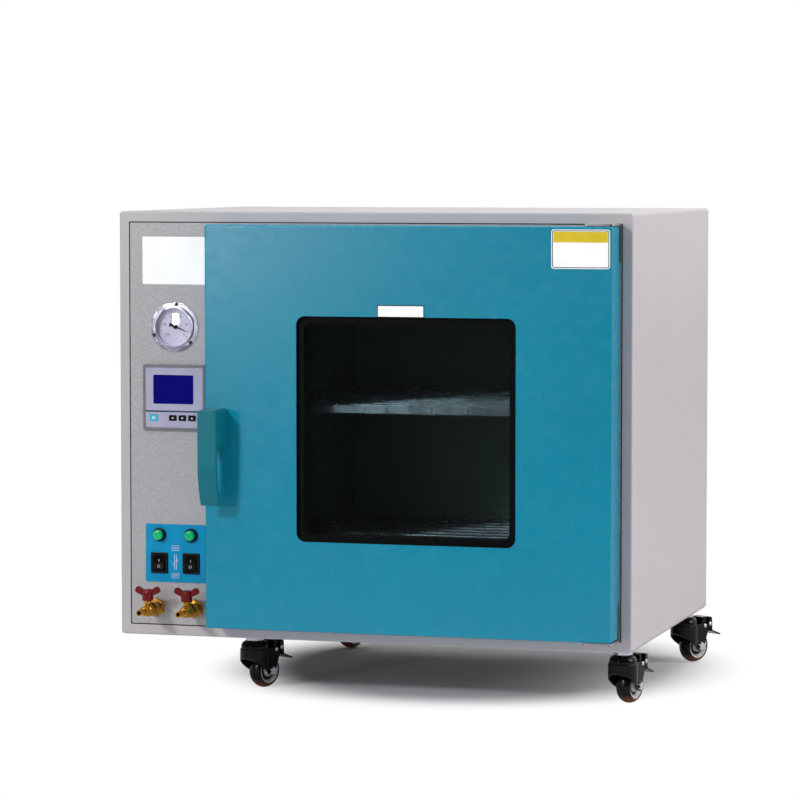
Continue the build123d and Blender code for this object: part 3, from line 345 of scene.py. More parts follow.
@dataclass(frozen=True)
class Hammer(Finish):
    """Hammer-tone powder coat: small dimples with crowns painted brighter, a painted highlight."""

    roughness: float = 0.38
    scale: float = 240.0
    dimple: float = 0.3
    dimple_depth: float = 0.0009

    def make(self) -> Material:
        """Build the powder coat."""
        graph = Graph(self.title)
        cells = graph.node("ShaderNodeTexVoronoi", feature="SMOOTH_F1", Scale=self.scale,
                           Smoothness=0.7)
        graph.link(graph.place, cells.inputs["Vector"])
        distance = cells.outputs["Distance"]
        speckle = graph.noise(self.scale * 3, 3.0)
        painted_relief_light = graph.math("MULTIPLY_ADD", speckle, 0.35, distance)
        # painted highlight and shade: lighter where the cells' distance is low, darker where it is
        # high, following the dimples' relief
        graph.blend(painted_relief_light, *self.shades(1.05, 0.93), ends=(0.25, 0.8))
        graph.gloss(speckle, self.roughness, 0.8, 1.2)
        graph.bump(distance, self.dimple, self.dimple_depth)
        graph.set(Metallic=0.08, Specular_IOR_Level=0.35)
        return graph.material


@dataclass(frozen=True)
class Metal(Finish):
    """Bare metal: brushed along one axis, or polished when the grain is faint."""

    roughness: float = 0.28
    grain: Triple = (1.0, 40.0, 40.0)
    grain_scale: float = 60.0
    grain_depth: float = 0.1
    mottle: float = 0.1
    metallic: float = 1.0

    def make(self) -> Material:
        """Build the metal."""
        graph = Graph(self.title)
        grain = graph.noise(self.grain_scale, 6.0, self.grain)
        graph.blend(grain, *self.shades(1 - self.mottle, 1 + self.mottle))
        graph.gloss(graph.noise(35.0, 5.0), self.roughness, 0.75, 1.3)
        graph.bump(grain, self.grain_depth, 0.0003)
        graph.set(Metallic=self.metallic)
        return graph.material


@dataclass(frozen=True)
class Plastic(Finish):
    """Moulded plastic or rubber with a fine spark-eroded texture, and painted light where it is
    given a glow.
    """

    roughness: float = 0.35
    texture: float = 0.08
    texture_scale: float = 1400.0
    coat: float = 0.0
    # painted light: an emission strength that makes an unlit part look brighter than the lamps make
    # it
    painted_glow: float = 0.0
    specular: float = 0.5

    def make(self) -> Material:
        """Build the plastic."""
        graph = Graph(self.title)
        graph.blend(graph.noise(45.0, 4.0), *self.shades(0.93, 1.06))
        graph.gloss(graph.noise(120.0, 4.0), self.roughness, 0.8, 1.2)
        if self.texture:
            graph.bump(graph.noise(self.texture_scale, 2.0), self.texture, 0.00015)
        graph.set(Coat_Weight=self.coat, Coat_Roughness=0.05, Specular_IOR_Level=self.specular)
        # painted light: the part glows in its own colour
        if self.painted_glow:
            graph.set(Emission_Strength=self.painted_glow)
            graph.shader.inputs["Emission Color"].default_value = self.colour
        return graph.material


@dataclass(frozen=True)
class Tyre(Finish):
    """Dark polyurethane, painted amber towards the floor as painted light coming through it there.
    """

    amber: Four = linear(112, 62, 34)
    low: float = 0.002
    high: float = 0.024
    cloud: float = 0.35

    def make(self) -> Material:
        """Build the tyre's rubber."""
        graph = Graph(self.title)
        place = graph.node("ShaderNodeSeparateXYZ")
        graph.link(graph.place, place.inputs["Vector"])
        # painted light: amber low on the tyre and dark higher up, by height above the floor
        height = graph.remap(place.outputs["Z"], (self.low, self.high), smooth=True)
        cloudy = graph.math("MULTIPLY_ADD", graph.noise(70.0, 3.0), self.cloud, height)
        graph.blend(cloudy, self.amber, self.colour, ends=(0.15, 0.75))
        graph.gloss(graph.noise(140.0, 4.0), 1.0, 0.22, 0.34)
        graph.set(Specular_IOR_Level=0.2, Coat_Weight=0.05, Coat_Roughness=0.1)
        return graph.material


@dataclass(frozen=True)
class Fibre(Finish):
    """A matted mineral-fibre blanket."""

    def make(self) -> Material:
        """Build the blanket."""
        graph = Graph(self.title)
        strands = graph.noise(260.0, 8.0, (1, 1, 6))
        graph.blend(strands, *self.shades(0.75, 1.1))
        graph.bump(strands, 0.6, 0.002)
        graph.set(Roughness=0.95, Sheen_Weight=0.3)
        return graph.material


@dataclass(frozen=True)
class Pane(Finish):
    """Clear glass that lets light through to what is behind it."""

    roughness: float = 0.02
    tint: float = 0.9

    def make(self) -> Material:
        """Build the glass: a clear sheet for light passing, with a faint smear in its gloss."""
        graph = Graph(self.title)
        graph.shader.inputs["Base Color"].default_value = self.colour
        graph.set(Transmission_Weight=1.0, IOR=1.45)
        graph.gloss(graph.noise(14.0, 5.0), self.roughness, 0.5, 2)
        clear = graph.node("ShaderNodeBsdfTransparent", Color=shade((1, 1, 1), self.tint))
        passing = graph.seen("Is Shadow Ray", "Is Diffuse Ray")
        graph.surface(graph.mixed(passing, graph.shader.outputs["BSDF"], clear.outputs["BSDF"]))
        return graph.material


@dataclass(frozen=True)
class Backdrop(Finish):
    """The pale floor, which keeps the oven's shadow and turns to plain white farther out."""

    near: float = 0.72
    far: float = 1.15
    middle: Triple = (0.05, 0.13, 0.0)
    reach: Pair = (0.37, 0.4)

    def make(self) -> Material:
        """Build the floor: matt near the oven, white to the eye away from it."""
        graph = Graph(self.title)
        graph.shader.inputs["Base Color"].default_value = self.colour
        graph.set(Roughness=0.9, Specular_IOR_Level=0.0)
        across, deep = self.reach
        distance = graph.node("ShaderNodeVectorMath", operation="DISTANCE")
        graph.link(graph.scaled((1 / across, 1 / deep, 1)), distance.inputs[0])
        distance.inputs[1].default_value = (self.middle[0] / across, self.middle[1] / deep, 0)
        fade = graph.remap(distance.outputs["Value"], (self.near, self.far), smooth=True)
        away = graph.math("MULTIPLY", fade, graph.seen("Is Camera Ray", "Is Transmission Ray"))
        white = graph.node("ShaderNodeEmission", Strength=1.0)
        graph.surface(graph.mixed(away, graph.shader.outputs["BSDF"], white.outputs["Emission"]))
        return graph.material


FINISHES: dict[str, Finish] = {finish.name: finish for finish in (
    Paint("cabinet_paint", linear(203, 199, 203), roughness=0.36, peel=0.05, peel_scale=260.0,
          cloud=0.02, specular=0.3),
    Hammer("panel_paint", linear(188, 187, 190)),
    Paint("door_paint", linear(4, 148, 179), roughness=0.26, peel=0.06, peel_scale=300.0,
          cloud=0.03),
    Paint("handle_paint", linear(8, 120, 137), roughness=0.36, peel=0.08, cloud=0.05, specular=0.3),
    Metal("stainless", linear(168, 172, 168), roughness=0.3),
    # painted shade: a darker copy of the stainless for the chamber's inside, where shade falls
    Metal("shaded_chamber_steel", linear(132, 144, 138), roughness=0.42, metallic=0.7),
    Metal("shelf_steel", linear(146, 158, 162), roughness=0.26, grain_depth=0.03, metallic=0.9),
    Metal("galvanised", linear(170, 172, 174), roughness=0.42, grain=(1, 1, 1), grain_scale=90,
          mottle=0.12),
    Metal("bright_steel", linear(214, 212, 230), roughness=0.16, grain_depth=0.02, mottle=0.03,
          metallic=0.85),
    Metal("brass", linear(206, 152, 44), roughness=0.24, grain=(30, 1, 30), grain_scale=50,
          grain_depth=0.06, metallic=0.85),
    Fibre("jacket", linear(226, 220, 205)),
    Plastic("silicone", linear(196, 200, 194), roughness=0.6),
    Pane("clear_pane", linear(220, 230, 234), roughness=0.002, tint=0.93),
    Pane("gauge_pane", linear(252, 252, 254), roughness=0.003, tint=0.98),
    Plastic("dark_frame", linear(5, 6, 8), roughness=0.5, texture=0.0, specular=0.15),
    # painted light: the glows on the dial face, display, cyan button, green lamp and white label
    # brighten parts that are not lit
    Plastic("dial_face", linear(226, 224, 246), roughness=0.55, texture=0.02, painted_glow=0.06),
    Plastic("needle_black", linear(8, 8, 10), roughness=0.45, specular=0.15),
    Plastic("controller_grey", linear(126, 124, 132), roughness=0.5, texture=0.2),
    Plastic("membrane", linear(186, 184, 212), roughness=0.45, texture=0.05),
    Plastic("divider_teal", linear(16, 66, 98), roughness=0.5, specular=0.2),
    Plastic("display_navy", linear(2, 2, 112), roughness=0.5, texture=0.0, painted_glow=0.2, specular=0.05),
    Plastic("button_cyan", linear(48, 188, 220), roughness=0.5, painted_glow=0.1),
    Plastic("button_black", linear(12, 10, 24), roughness=0.5, specular=0.15),
    Plastic("print_white", linear(236, 236, 238), roughness=0.6),
    Plastic("print_black", linear(18, 18, 26), roughness=0.6, specular=0.15),
    Plastic("plate_blue", linear(4, 156, 210), roughness=0.5, texture=0.04, specular=0.15),
    Plastic("black_plastic", linear(6, 6, 9), roughness=0.3, texture=0.0, specular=0.25),
    Metal("gauge_steel", linear(196, 194, 216), roughness=0.07, grain_depth=0.01, mottle=0.03,
          metallic=0.7),
    Plastic("rocker_black", linear(7, 7, 10), roughness=0.45, texture=0.0, specular=0.06),
    Plastic("lamp_green", linear(8, 200, 126), roughness=0.2, coat=0.6, painted_glow=0.05),
    Paint("valve_red", linear(112, 10, 12), roughness=0.22, peel=0.12, cloud=0.1, specular=0.35),
    Paint("caster_black", linear(6, 6, 7), roughness=0.16, peel=0.05, specular=0.22),
    Plastic("rim_white", linear(222, 222, 218), roughness=0.35),
    Tyre("tyre_brown", linear(13, 14, 20)),
    Plastic("label_white", linear(246, 248, 248), roughness=0.6, texture=0.0, painted_glow=0.3),
    Metal("zinc", linear(206, 206, 212), roughness=0.25, grain_depth=0.02, mottle=0.05,
          metallic=0.6),
    Plastic("label_yellow", linear(244, 214, 22), roughness=0.5, texture=0.02),
    Metal("screw_steel", linear(150, 150, 154), roughness=0.3, mottle=0.08),
    Paint("screw_black", linear(12, 12, 14), roughness=0.3, peel=0.05, specular=0.3),
    Backdrop("studio_floor", linear(238, 238, 240)),
)}

OWN_FINISHES: dict[str, str] = {
    "gauge_lens": "gauge_pane", "gauge_case": "gauge_steel", "inner_chamber": "shaded_chamber_steel",
    "shelf_upper": "shelf_steel", "shelf_lower": "shelf_steel",
    "rocker_left": "rocker_black", "rocker_right": "rocker_black",
}


# ---------------------------------------------------------------- bench


@dataclass
class Bench:
    """The workbench: makes primitives, shapes them and hands over finished pieces."""

    datum: Datum

    def clear(self) -> None:
        """Leave edit mode and deselect everything."""
        if bpy.context.object and bpy.context.object.mode != "OBJECT":
            bpy.ops.object.mode_set(mode="OBJECT")
        bpy.ops.object.select_all(action="DESELECT")

    def apply(self, piece: Piece) -> None:
        """Put the piece's place, turn and scale into its mesh."""
        self.clear()
        piece.select_set(True)
        bpy.context.view_layer.objects.active = piece
        bpy.ops.object.transform_apply(location=True, rotation=True, scale=True)

    def modify(self, piece: Piece, kind: str, **values: object) -> None:
        """Add a modifier to a piece and apply it.

        Args:
            piece: the mesh to change.
            kind: the modifier's type.
            values: its settings by name.
        """
        self.clear()
        piece.select_set(True)
        bpy.context.view_layer.objects.active = piece
        modifier = piece.modifiers.new(kind.title(), kind)
        for key, value in values.items():
            setattr(modifier, key, value)
        bpy.ops.object.modifier_apply(modifier=modifier.name)

    def made(self, name: str) -> Piece:
        """Name the piece that was just added, and put its place and size into its mesh."""
        piece = bpy.context.object
        piece.name = name
        self.apply(piece)
        return piece

    def cube(self, name: str, centre: Sequence[float], size: Sequence[float]) -> Piece:
        """Make a sharp block from its middle and its lengths, in millimetres."""
        self.clear()
        bpy.ops.mesh.primitive_cube_add(size=1, location=self.datum.at(*centre),
                                        scale=[length * MM for length in size])
        return self.made(name)

    def block(self, name: str, centre: Sequence[float], size: Sequence[float],
              round_to: float) -> Piece:
        """Make a block with bevelled edges.

        Args:
            name: the piece's name.
            centre: its middle in millimetres.
            size: its lengths along x, y and z in millimetres.
            round_to: the width of its bevels in millimetres.

        Returns:
            The block, with its place in its mesh.
        """
        piece = self.cube(name, centre, size)
        self.modify(piece, "BEVEL", width=round_to * MM, segments=1, limit_method="NONE")
        return piece

    def plate(self, name: str, centre: Sequence[float], size: Sequence[float], corner: float,
              steps: int = 5) -> Piece:
        """Make a thin upright plate with rounded corners, seen from the front.

        Args:
            name: the piece's name.
            centre: its middle in millimetres.
            size: its lengths along x, y and z in millimetres.
            corner: the radius of its corners in millimetres.
            steps: how many faces round each corner.

        Returns:
            The plate.
        """
        piece = self.cube(name, centre, size)
        bpy.ops.object.mode_set(mode="EDIT")
        shape = bmesh.from_edit_mesh(piece.data)
        for edge in shape.edges:
            along = edge.verts[0].co - edge.verts[1].co
            edge.select_set(abs(along.y) > max(abs(along.x), abs(along.z)))
        bmesh.update_edit_mesh(piece.data)
        bpy.ops.mesh.bevel(offset=corner * MM, segments=steps, affect="EDGES", offset_type="OFFSET")
        bpy.ops.object.mode_set(mode="OBJECT")
        return piece

    def turned(self, name: str, centre: Sequence[float], axis: Axis | Sequence[float],
               profile: Profile, sides: int = 32) -> Piece:
        """Make a turned piece from rings of a given radius at a given height.

        Args:
            name: the piece's name.
            centre: where its base stands, in millimetres.
            axis: the way that its height runs, as an Axis or as three angles.
            profile: (radius, height) pairs in millimetres, from the base up.
            sides: how many faces round it has.

        Returns:
            The turned piece.
        """
        self.clear()
        radius, height = profile[0]
        bpy.ops.mesh.primitive_circle_add(vertices=sides, radius=radius * MM, fill_type="NGON",
                                          location=(0, 0, height * MM))
        piece = bpy.context.object
        piece.name = name
        bpy.ops.object.mode_set(mode="EDIT")
        bpy.ops.mesh.select_all(action="SELECT")
        for radius_to, height_to in profile[1:]:
            rise = (0, 0, (height_to - height) * MM)
            bpy.ops.mesh.extrude_region_move(TRANSFORM_OT_translate={"value": rise})
            factor = radius_to / radius
            bpy.ops.transform.resize(value=(factor, factor, 1))
            radius, height = radius_to, height_to
        bpy.ops.mesh.select_all(action="SELECT")
        bpy.ops.mesh.normals_make_consistent(inside=False)
        bpy.ops.object.mode_set(mode="OBJECT")
        piece.rotation_euler = axis.value if isinstance(axis, Axis) else axis
        piece.location = self.datum.at(*centre)
        self.apply(piece)
        bpy.ops.object.shade_smooth_by_angle(angle=math.radians(35))
        return piece

    def arrowhead(self, name: str, centre: Sequence[float], radius: float, degrees: float,
                  stretch: Pair = (1.0, 1.0)) -> Piece:
        """Make a flat arrowhead that faces the front.

        Args:
            name: the piece's name.
            centre: its middle in millimetres.
            radius: how far its corners are from its middle, in millimetres.
            degrees: how far it is turned from pointing up.
            stretch: its stretch across and along, before it is turned.

        Returns:
            The arrowhead.
        """
        self.clear()
        bpy.ops.mesh.primitive_cylinder_add(vertices=3, radius=radius * MM, depth=PRINT * MM)
        piece = self.made(name)
        piece.data.transform(Matrix.Diagonal((*stretch, 1, 1)))
        piece.data.transform(Matrix.Rotation(math.radians(degrees), 4, "Z"))
        piece.data.transform(Matrix.Rotation(math.pi / 2, 4, "X"))
        piece.data.transform(Matrix.Translation(self.datum.at(*centre)))
        return piece

    def cut(self, piece: Piece, cutters: Sequence[Piece]) -> None:
        """Cut each cutter out of the piece and throw the cutters away."""
        for cutter in cutters:
            self.modify(piece, "BOOLEAN", operation="DIFFERENCE", solver="EXACT", object=cutter)
            bpy.data.objects.remove(cutter)

    def join(self, name: str, parts: Sequence[Piece]) -> Piece:
        """Join parts into one piece.

        Args:
            name: the piece's name.
            parts: what is joined.

        Returns:
            The joined piece.
        """
        self.clear()
        for part in parts:
            part.select_set(True)
        bpy.context.view_layer.objects.active = parts[0]
        bpy.ops.object.join()
        piece = bpy.context.object
        piece.name = name
        return piece

    def lettering(self, name: str, words: str, centre: Sequence[float],
                  height: float) -> Piece:
        """Print characters that face the front.

        Args:
            name: the piece's name.
            words: the characters.
            centre: their middle in millimetres, at their back.
            height: the size of the type in millimetres.

        Returns:
            The characters as a mesh.
        """
        self.clear()
        bpy.ops.object.text_add(location=(0, 0, 0))
        piece = bpy.context.object
        piece.name = name
        piece.data.body = words
        piece.data.size = height * MM
        piece.data.extrude = PRINT / 2 * MM
        piece.data.align_x = "CENTER"
        piece.data.align_y = "CENTER"
        piece.data.resolution_u = 3
        bpy.ops.object.convert(target="MESH")
        piece = bpy.context.object
        piece.rotation_euler = Axis.FORWARD.value
        piece.location = self.datum.at(centre[0], centre[1] - PRINT / 2, centre[2])
        self.apply(piece)
        return piece

    def hand_over(self, piece: Piece, finish: str, body: str, slot: str) -> None:
        """Dress a piece and set it on its body.

        Args:
            piece: the finished mesh.
            finish: the name of its finish.
            body: the CAD body that it rides on.
            slot: the record's slot for the piece; not used.
        """
        piece.data.materials.clear()
        piece.data.materials.append(FINISHES[finish].material())
        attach(piece, body)
        log.info("piece %s on %s", piece.name, body)


# ---------------------------------------------------------------- CAD nodes


def dress_nodes() -> None:
    """Dress every CAD node in the finish of its slot, or in its own."""
    slots = {entry["node"]: entry["material_slot"] for entry in frame["record"]["subparts"]}
    for name, node in frame["nodes"].items():
        finish = FINISHES[OWN_FINISHES.get(name, slots[name])]
        for slot in node.material_slots:
            slot.material = finish.material()
        log.info("node %s in %s", name, slots[name])


# ---------------------------------------------------------------- sub-assemblies


@dataclass
class Gauge:
    """The vacuum gauge's printed marks and numbers, and its three screws."""

    bench: Bench
    x: float = -298.0
    z: float = 452.0
    dial_front: float = 5.0
    flange_front: float = -2.0
    mark_radius: float = 23.5
    number_radius: float = 16.9
    number_height: float = 4.4
    first_angle: float = -42.0
    last_angle: float = 222.0
    marks: int = 51
    marks_per_long: int = 5
    numbers: tuple[str, ...] = ("0", "20", "40", "60", "80", "100")
    long_mark: Pair = (3.4, 0.45)
    short_mark: Pair = (1.9, 0.25)
    screw_radius: float = 33.2
    screw_angles: tuple[float, ...] = (84.0, 201.0, -42.0)
    screw_head: Profile = ((2.6, 0), (2.6, 0.5), (2.1, 1.3), (1.1, 1.7))
    screw_slot: Triple = (5.0, 0.9, 0.5)

    def angle(self, share: float) -> float:
        """Return where a share of the scale lies, in radians."""
        return math.radians(self.first_angle + (self.last_angle - self.first_angle) * share)

    def spot(self, angle: float, reach: float, y: float) -> Triple:
        """Return the place at an angle and a distance from the dial's middle."""
        return (self.x + reach * math.cos(angle), y, self.z + reach * math.sin(angle))

    def print_marks(self) -> None:
        """Mark the dial with long and short strokes."""
        datum = self.bench.datum
        strokes = []
        for number in range(self.marks):
            length, width = self.short_mark if number % self.marks_per_long else self.long_mark
            angle = self.angle(number / (self.marks - 1))
            stroke = self.bench.block(f"stroke_{number}", (0, 0, 0), (length, PRINT, width), 0.02)
            place = self.spot(angle, self.mark_radius - length / 2, self.dial_front - PRINT / 2)
            stroke.data.transform(Matrix.Translation(-datum.at(0, 0, 0)))
            stroke.data.transform(Matrix.Rotation(-angle, 4, "Y"))
            stroke.data.transform(Matrix.Translation(datum.at(*place)))
            strokes.append(stroke)
        piece = self.bench.join("gauge_marks", strokes)
        self.bench.hand_over(piece, "print_black", "cabinet", "needle_black")

    def print_numbers(self) -> None:
        """Print the scale's numbers inside the strokes."""
        for step, words in enumerate(self.numbers):
            angle = self.angle(step / (len(self.numbers) - 1))
            place = self.spot(angle, self.number_radius, self.dial_front)
            piece = self.bench.lettering(f"gauge_number_{step}", words, place, self.number_height)
            self.bench.hand_over(piece, "print_black", "cabinet", "needle_black")

    def drive_screws(self) -> None:
        """Fix the flange with three dark round-headed screws."""
        bench = self.bench
        top = self.flange_front - self.screw_head[-1][1]
        for number, degrees in enumerate(self.screw_angles):
            angle = math.radians(degrees)
            place = self.spot(angle, self.screw_radius, self.flange_front)
            screw = bench.turned(f"gauge_screw_{number}", place, Axis.FORWARD, self.screw_head, 20)
            place = self.spot(angle, self.screw_radius, top)
            bench.cut(screw, [bench.block("slot", place, self.screw_slot, 0.05)])
            bench.hand_over(screw, "screw_black", "cabinet", "needle_black")

    def build(self) -> None:
        """Build the gauge's details."""
        self.print_marks()
        self.print_numbers()
        self.drive_screws()


@dataclass
class Controller:
    """The controller's printed membrane, its divider and its button signs.

    The display's opening and the buttons' openings are measured from the controller's middle.
    """

    bench: Bench
    x: float = -298.0
    z: float = 349.0
    face: float = -4.2
    button_rise: float = 1.0
    size: float = 87.6
    sheet: float = 0.25
    display: Four = (-1.0, 12.0, 62.0, 42.5)
    divider_drop: float = 20.0
    divider: Pair = (0.12, 2.2)
    row: float = -29.5
    buttons: dict[str, Triple] = field(default_factory=lambda: {
        "set": (-31.4, 13.8, 9.8), "left": (-1.9, 12.2, 8.6), "down": (12.9, 12.2, 8.6),
        "up": (27.7, 12.2, 8.6)})
    arrows: tuple[tuple[str, float], ...] = (("left", 90.0), ("down", 180.0), ("up", 0.0))
    arrow_radius: float = 2.0
    square: Pair = (4.4, 3.4)

    def membrane(self) -> None:
        """Lay the printed sheet on the sunk face, open at the display and the buttons."""
        bench, size = self.bench, self.size
        y = self.face - self.sheet / 2
        place = (self.x, y, self.z)
        sheet = bench.plate("controller_membrane", place, (size, self.sheet, size), 2.0)
        across, up, width, height = self.display
        place = (self.x + across, y, self.z + up)
        cutters = [bench.plate("cut_display", place, (width, CUTTER, height), 1.5)]
        for name, (across, width, height) in self.buttons.items():
            place = (self.x + across, y, self.z + self.row)
            cutters.append(bench.plate(f"cut_{name}", place, (width, CUTTER, height), 1.4))
        bench.cut(sheet, cutters)
        bench.hand_over(sheet, "membrane", "cabinet", "controller_grey")
        place = (self.x, self.face - self.sheet - 0.05, self.z - self.divider_drop)
        line = bench.block("controller_divider", place, (size, *self.divider), 0.04)
        bench.hand_over(line, "divider_teal", "cabinet", "display_navy")

    def sign_place(self, name: str) -> Triple:
        """Return the middle of the sign on a button."""
        y = self.face - self.button_rise - PRINT / 2
        return (self.x + self.buttons[name][0], y, self.z + self.row)

    def signs(self) -> None:
        """Put an arrowhead on each black button and a square on the coloured one."""
        bench = self.bench
        for name, degrees in self.arrows:
            place = self.sign_place(name)
            sign = bench.arrowhead(f"sign_{name}", place, self.arrow_radius, degrees)
            bench.hand_over(sign, "print_white", f"button_{name}", "button_black")
        width, height = self.square
        square = bench.plate("sign_set", self.sign_place("set"), (width, PRINT, height), 0.4, 2)
        bench.hand_over(square, "print_white", "button_set", "button_cyan")

    def build(self) -> None:
        """Build the controller's details."""
        self.membrane()
        self.signs()


@dataclass
class SwitchPlate:
    """The coloured plate's printed ON and OFF boxes and arrows, and the rockers' signs."""

    bench: Bench
    x: float = -298.0
    front: float = -1.0
    switch_z: float = 106.5
    pitch: float = 49.0
    words: dict[str, float] = field(default_factory=lambda: {"ON": 128.6, "OFF": 88.2})
    word_height: float = 4.6
    outline: Pair = (11.6, 7.2)
    outline_line: float = 0.5
    arrow_z: float = 108.0
    bar: Pair = (0.8, 22.0)
    bar_shift: float = 1.3
    head_radius: float = 2.6
    head_shift: float = 1.9
    head_rise: float = 3.0
    on_sign: Triple = (0.6, 3.8, 0.3)
    on_rise: float = 4.0
    off_radius: float = 1.9
    off_line: float = 0.28
    off_drop: float = 4.5

    def boxed_word(self, word: str, z: float) -> None:
        """Print a word in a rounded outline."""
        bench, (width, height), line = self.bench, self.outline, 2 * self.outline_line
        name, back = word.lower(), (self.x, self.front, z)
        outline = bench.plate(f"outline_{name}", (self.x, self.front - PRINT / 2, z),
                              (width, PRINT, height), 1.2)
        hollow = bench.plate("hollow", back, (width - line, CUTTER, height - line), 0.9)
        bench.cut(outline, [hollow])
        bench.hand_over(outline, "print_white", "cabinet", "rim_white")
        letters = bench.lettering(f"word_{name}", word, back, self.word_height)
        bench.hand_over(letters, "print_white", "cabinet", "rim_white")

    def arrows(self) -> None:
        """Print a pair of half arrows between the switches: the left one down, the right one up."""
        y = self.front - PRINT / 2
        width, height = self.bar
        parts = []
        for side, degrees in ((-1, 180.0), (1, 0.0)):
            bar = (self.x + side * self.bar_shift, y, self.arrow_z)
            head = (self.x + side * self.head_shift, y, self.arrow_z + side * self.head_rise)
            parts.append(self.bench.block("bar", bar, (width, PRINT, height), 0.03))
            parts.append(self.bench.arrowhead("head", head, self.head_radius, degrees, (0.8, 1.6)))
        piece = self.bench.join("plate_arrows", parts)
        self.bench.hand_over(piece, "print_white", "cabinet", "rim_white")

    def face(self, name: str, x: float, z: float) -> Matrix:
        """Find a rocker's front face.

        Args:
            name: the rocker's node.
            x: millimetres to the right of the cabinet's middle.
            z: millimetres up from the underside.

        Returns:
            The matrix that sets a piece made flat at the origin upon the face there.
        """
        node = frame["nodes"][name]
        inward = node.matrix_world.inverted()
        start = inward @ self.bench.datum.at(x, -60, z)
        _, spot, normal, _ = node.ray_cast(start, inward.to_3x3() @ Vector((0, 1, 0)))
        out = (node.matrix_world.to_3x3() @ normal).normalized()
        facing = out.to_track_quat("Z", "Y").to_matrix().to_4x4()
        return Matrix.Translation(node.matrix_world @ spot) @ facing

    def rocker_signs(self) -> None:
        """Print I and O on both rockers, tilted with them."""
        bench = self.bench
        bar = [length * MM for length in self.on_sign]
        for name, side in (("rocker_left", -1), ("rocker_right", 1)):
            x = self.x + side * self.pitch / 2
            bench.clear()
            bpy.ops.mesh.primitive_cube_add(size=1, scale=bar)
            stroke = bench.made(f"{name}_on")
            stroke.data.transform(self.face(name, x, self.switch_z + self.on_rise))
            bench.hand_over(stroke, "print_white", name, "rim_white")
            bench.clear()
            bpy.ops.mesh.primitive_torus_add(
                major_radius=self.off_radius * MM, minor_radius=self.off_line * MM,
                major_segments=28, minor_segments=8)
            ring = bench.made(f"{name}_off")
            ring.data.transform(self.face(name, x, self.switch_z - self.off_drop))
            bench.hand_over(ring, "print_white", name, "rim_white")

    def build(self) -> None:
        """Build the plate's prints."""
        for word, z in self.words.items():
            self.boxed_word(word, z)
        self.arrows()
        self.rocker_signs()


@dataclass
class Labels:
    """The bare plates and labels on the panel and the door.

    An area is the x and z of its middle, then its width and its height, in millimetres.
    """

    bench: Bench
    door_front: float = -52.0
    sheet: float = 0.3
    overlay: float = 0.2
    blank_area: Four = (-296.5, 548.5, 101.0, 69.0)
    blank_thickness: float = 0.5
    corner_area: Four = (319.6, 570.4, 83.7, 54.7)
    sill_area: Four = (59.2, 480.8, 69.1, 17.5)
    rim_inset: float = 2.4
    hollow_inset: float = 4.6
    rim_thickness: float = 0.12
    band_inset: float = 6.0
    band_height: float = 15.0
    band_drop: float = 10.5

    def sheet_on(self, name: str, area: Sequence[float], y: float, thick: float, corner: float,
                 inset: float = 0.0) -> Piece:
        """Make a flat sheet over an area.

        Args:
            name: the piece's name.
            area: the area that it lies on.
            y: the middle of its thickness.
            thick: its thickness.
            corner: the radius of its corners.
            inset: how much narrower and lower than the area it is.

        Returns:
            The sheet.
        """
        x, z, width, height = area
        return self.bench.plate(name, (x, y, z), (width - inset, thick, height - inset), corner)

    def name_plate(self) -> None:
        """Fix a blank plate at the top of the control column."""
        thick = self.blank_thickness
        plate = self.sheet_on("blank_plate", self.blank_area, -thick / 2, thick, 0.8)
        self.bench.hand_over(plate, "label_white", "cabinet", "rim_white")

    def corner_label(self) -> None:
        """Stick a bare two-tone label near the door's top right corner."""
        bench, area = self.bench, self.corner_area
        front = self.door_front - self.sheet / 2
        label = self.sheet_on("door_label", area, front, self.sheet, 3.5)
        bench.hand_over(label, "label_white", "door", "rim_white")
        over = front - self.overlay
        rim = self.sheet_on("door_label_rim", area, over, self.rim_thickness, 2.8, self.rim_inset)
        bench.cut(rim, [self.sheet_on("hollow", area, over, CUTTER, 2.0, self.hollow_inset)])
        bench.hand_over(rim, "print_black", "door", "needle_black")
        x, z, width, height = area
        strip = (x, z + height / 2 - self.band_drop, width - self.band_inset, self.band_height)
        band = self.sheet_on("door_label_band", strip, over, PRINT, 0.5)
        bench.hand_over(band, "label_yellow", "door", "rim_white")

    def sill_label(self) -> None:
        """Stick a small bare label above the window."""
        front = self.door_front - self.sheet / 2
        rim = self.sheet_on("sill_label_rim", self.sill_area, front, self.sheet, 0.8)
        self.bench.hand_over(rim, "print_black", "door", "needle_black")
        over = front - self.overlay / 2
        label = self.sheet_on("sill_label", self.sill_area, over, self.sheet, 0.5, self.rim_inset)
        self.bench.hand_over(label, "label_white", "door", "rim_white")

    def build(self) -> None:
        """Build the plates and labels."""
        self.name_plate()
        self.corner_label()
        self.sill_label()


@dataclass
class Seams:
    """The dark joint between the front panel and the cabinet's folded frame."""

    bench: Bench
    hidden_lip: float = 7.0
    width: float = 1.5
    depth: float = 0.3
    corner: float = 1.5

    def build(self) -> None:
        """Run a dark line round the panel's edge."""
        bench = self.bench
        low, high = ((corner - bench.datum.origin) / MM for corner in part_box("front_panel"))
        middle = ((low.x + high.x) / 2, low.y, (low.z + high.z) / 2)
        across = high.x - low.x - 2 * self.hidden_lip
        tall = high.z - low.z - 2 * self.hidden_lip
        seam = bench.plate("panel_seam", middle, (across, self.depth, tall), self.corner)
        inside = (across - 2 * self.width, CUTTER, tall - 2 * self.width)
        bench.cut(seam, [bench.plate("hollow", middle, inside, self.corner)])
        bench.hand_over(seam, "dark_frame", "cabinet", "dark_frame")


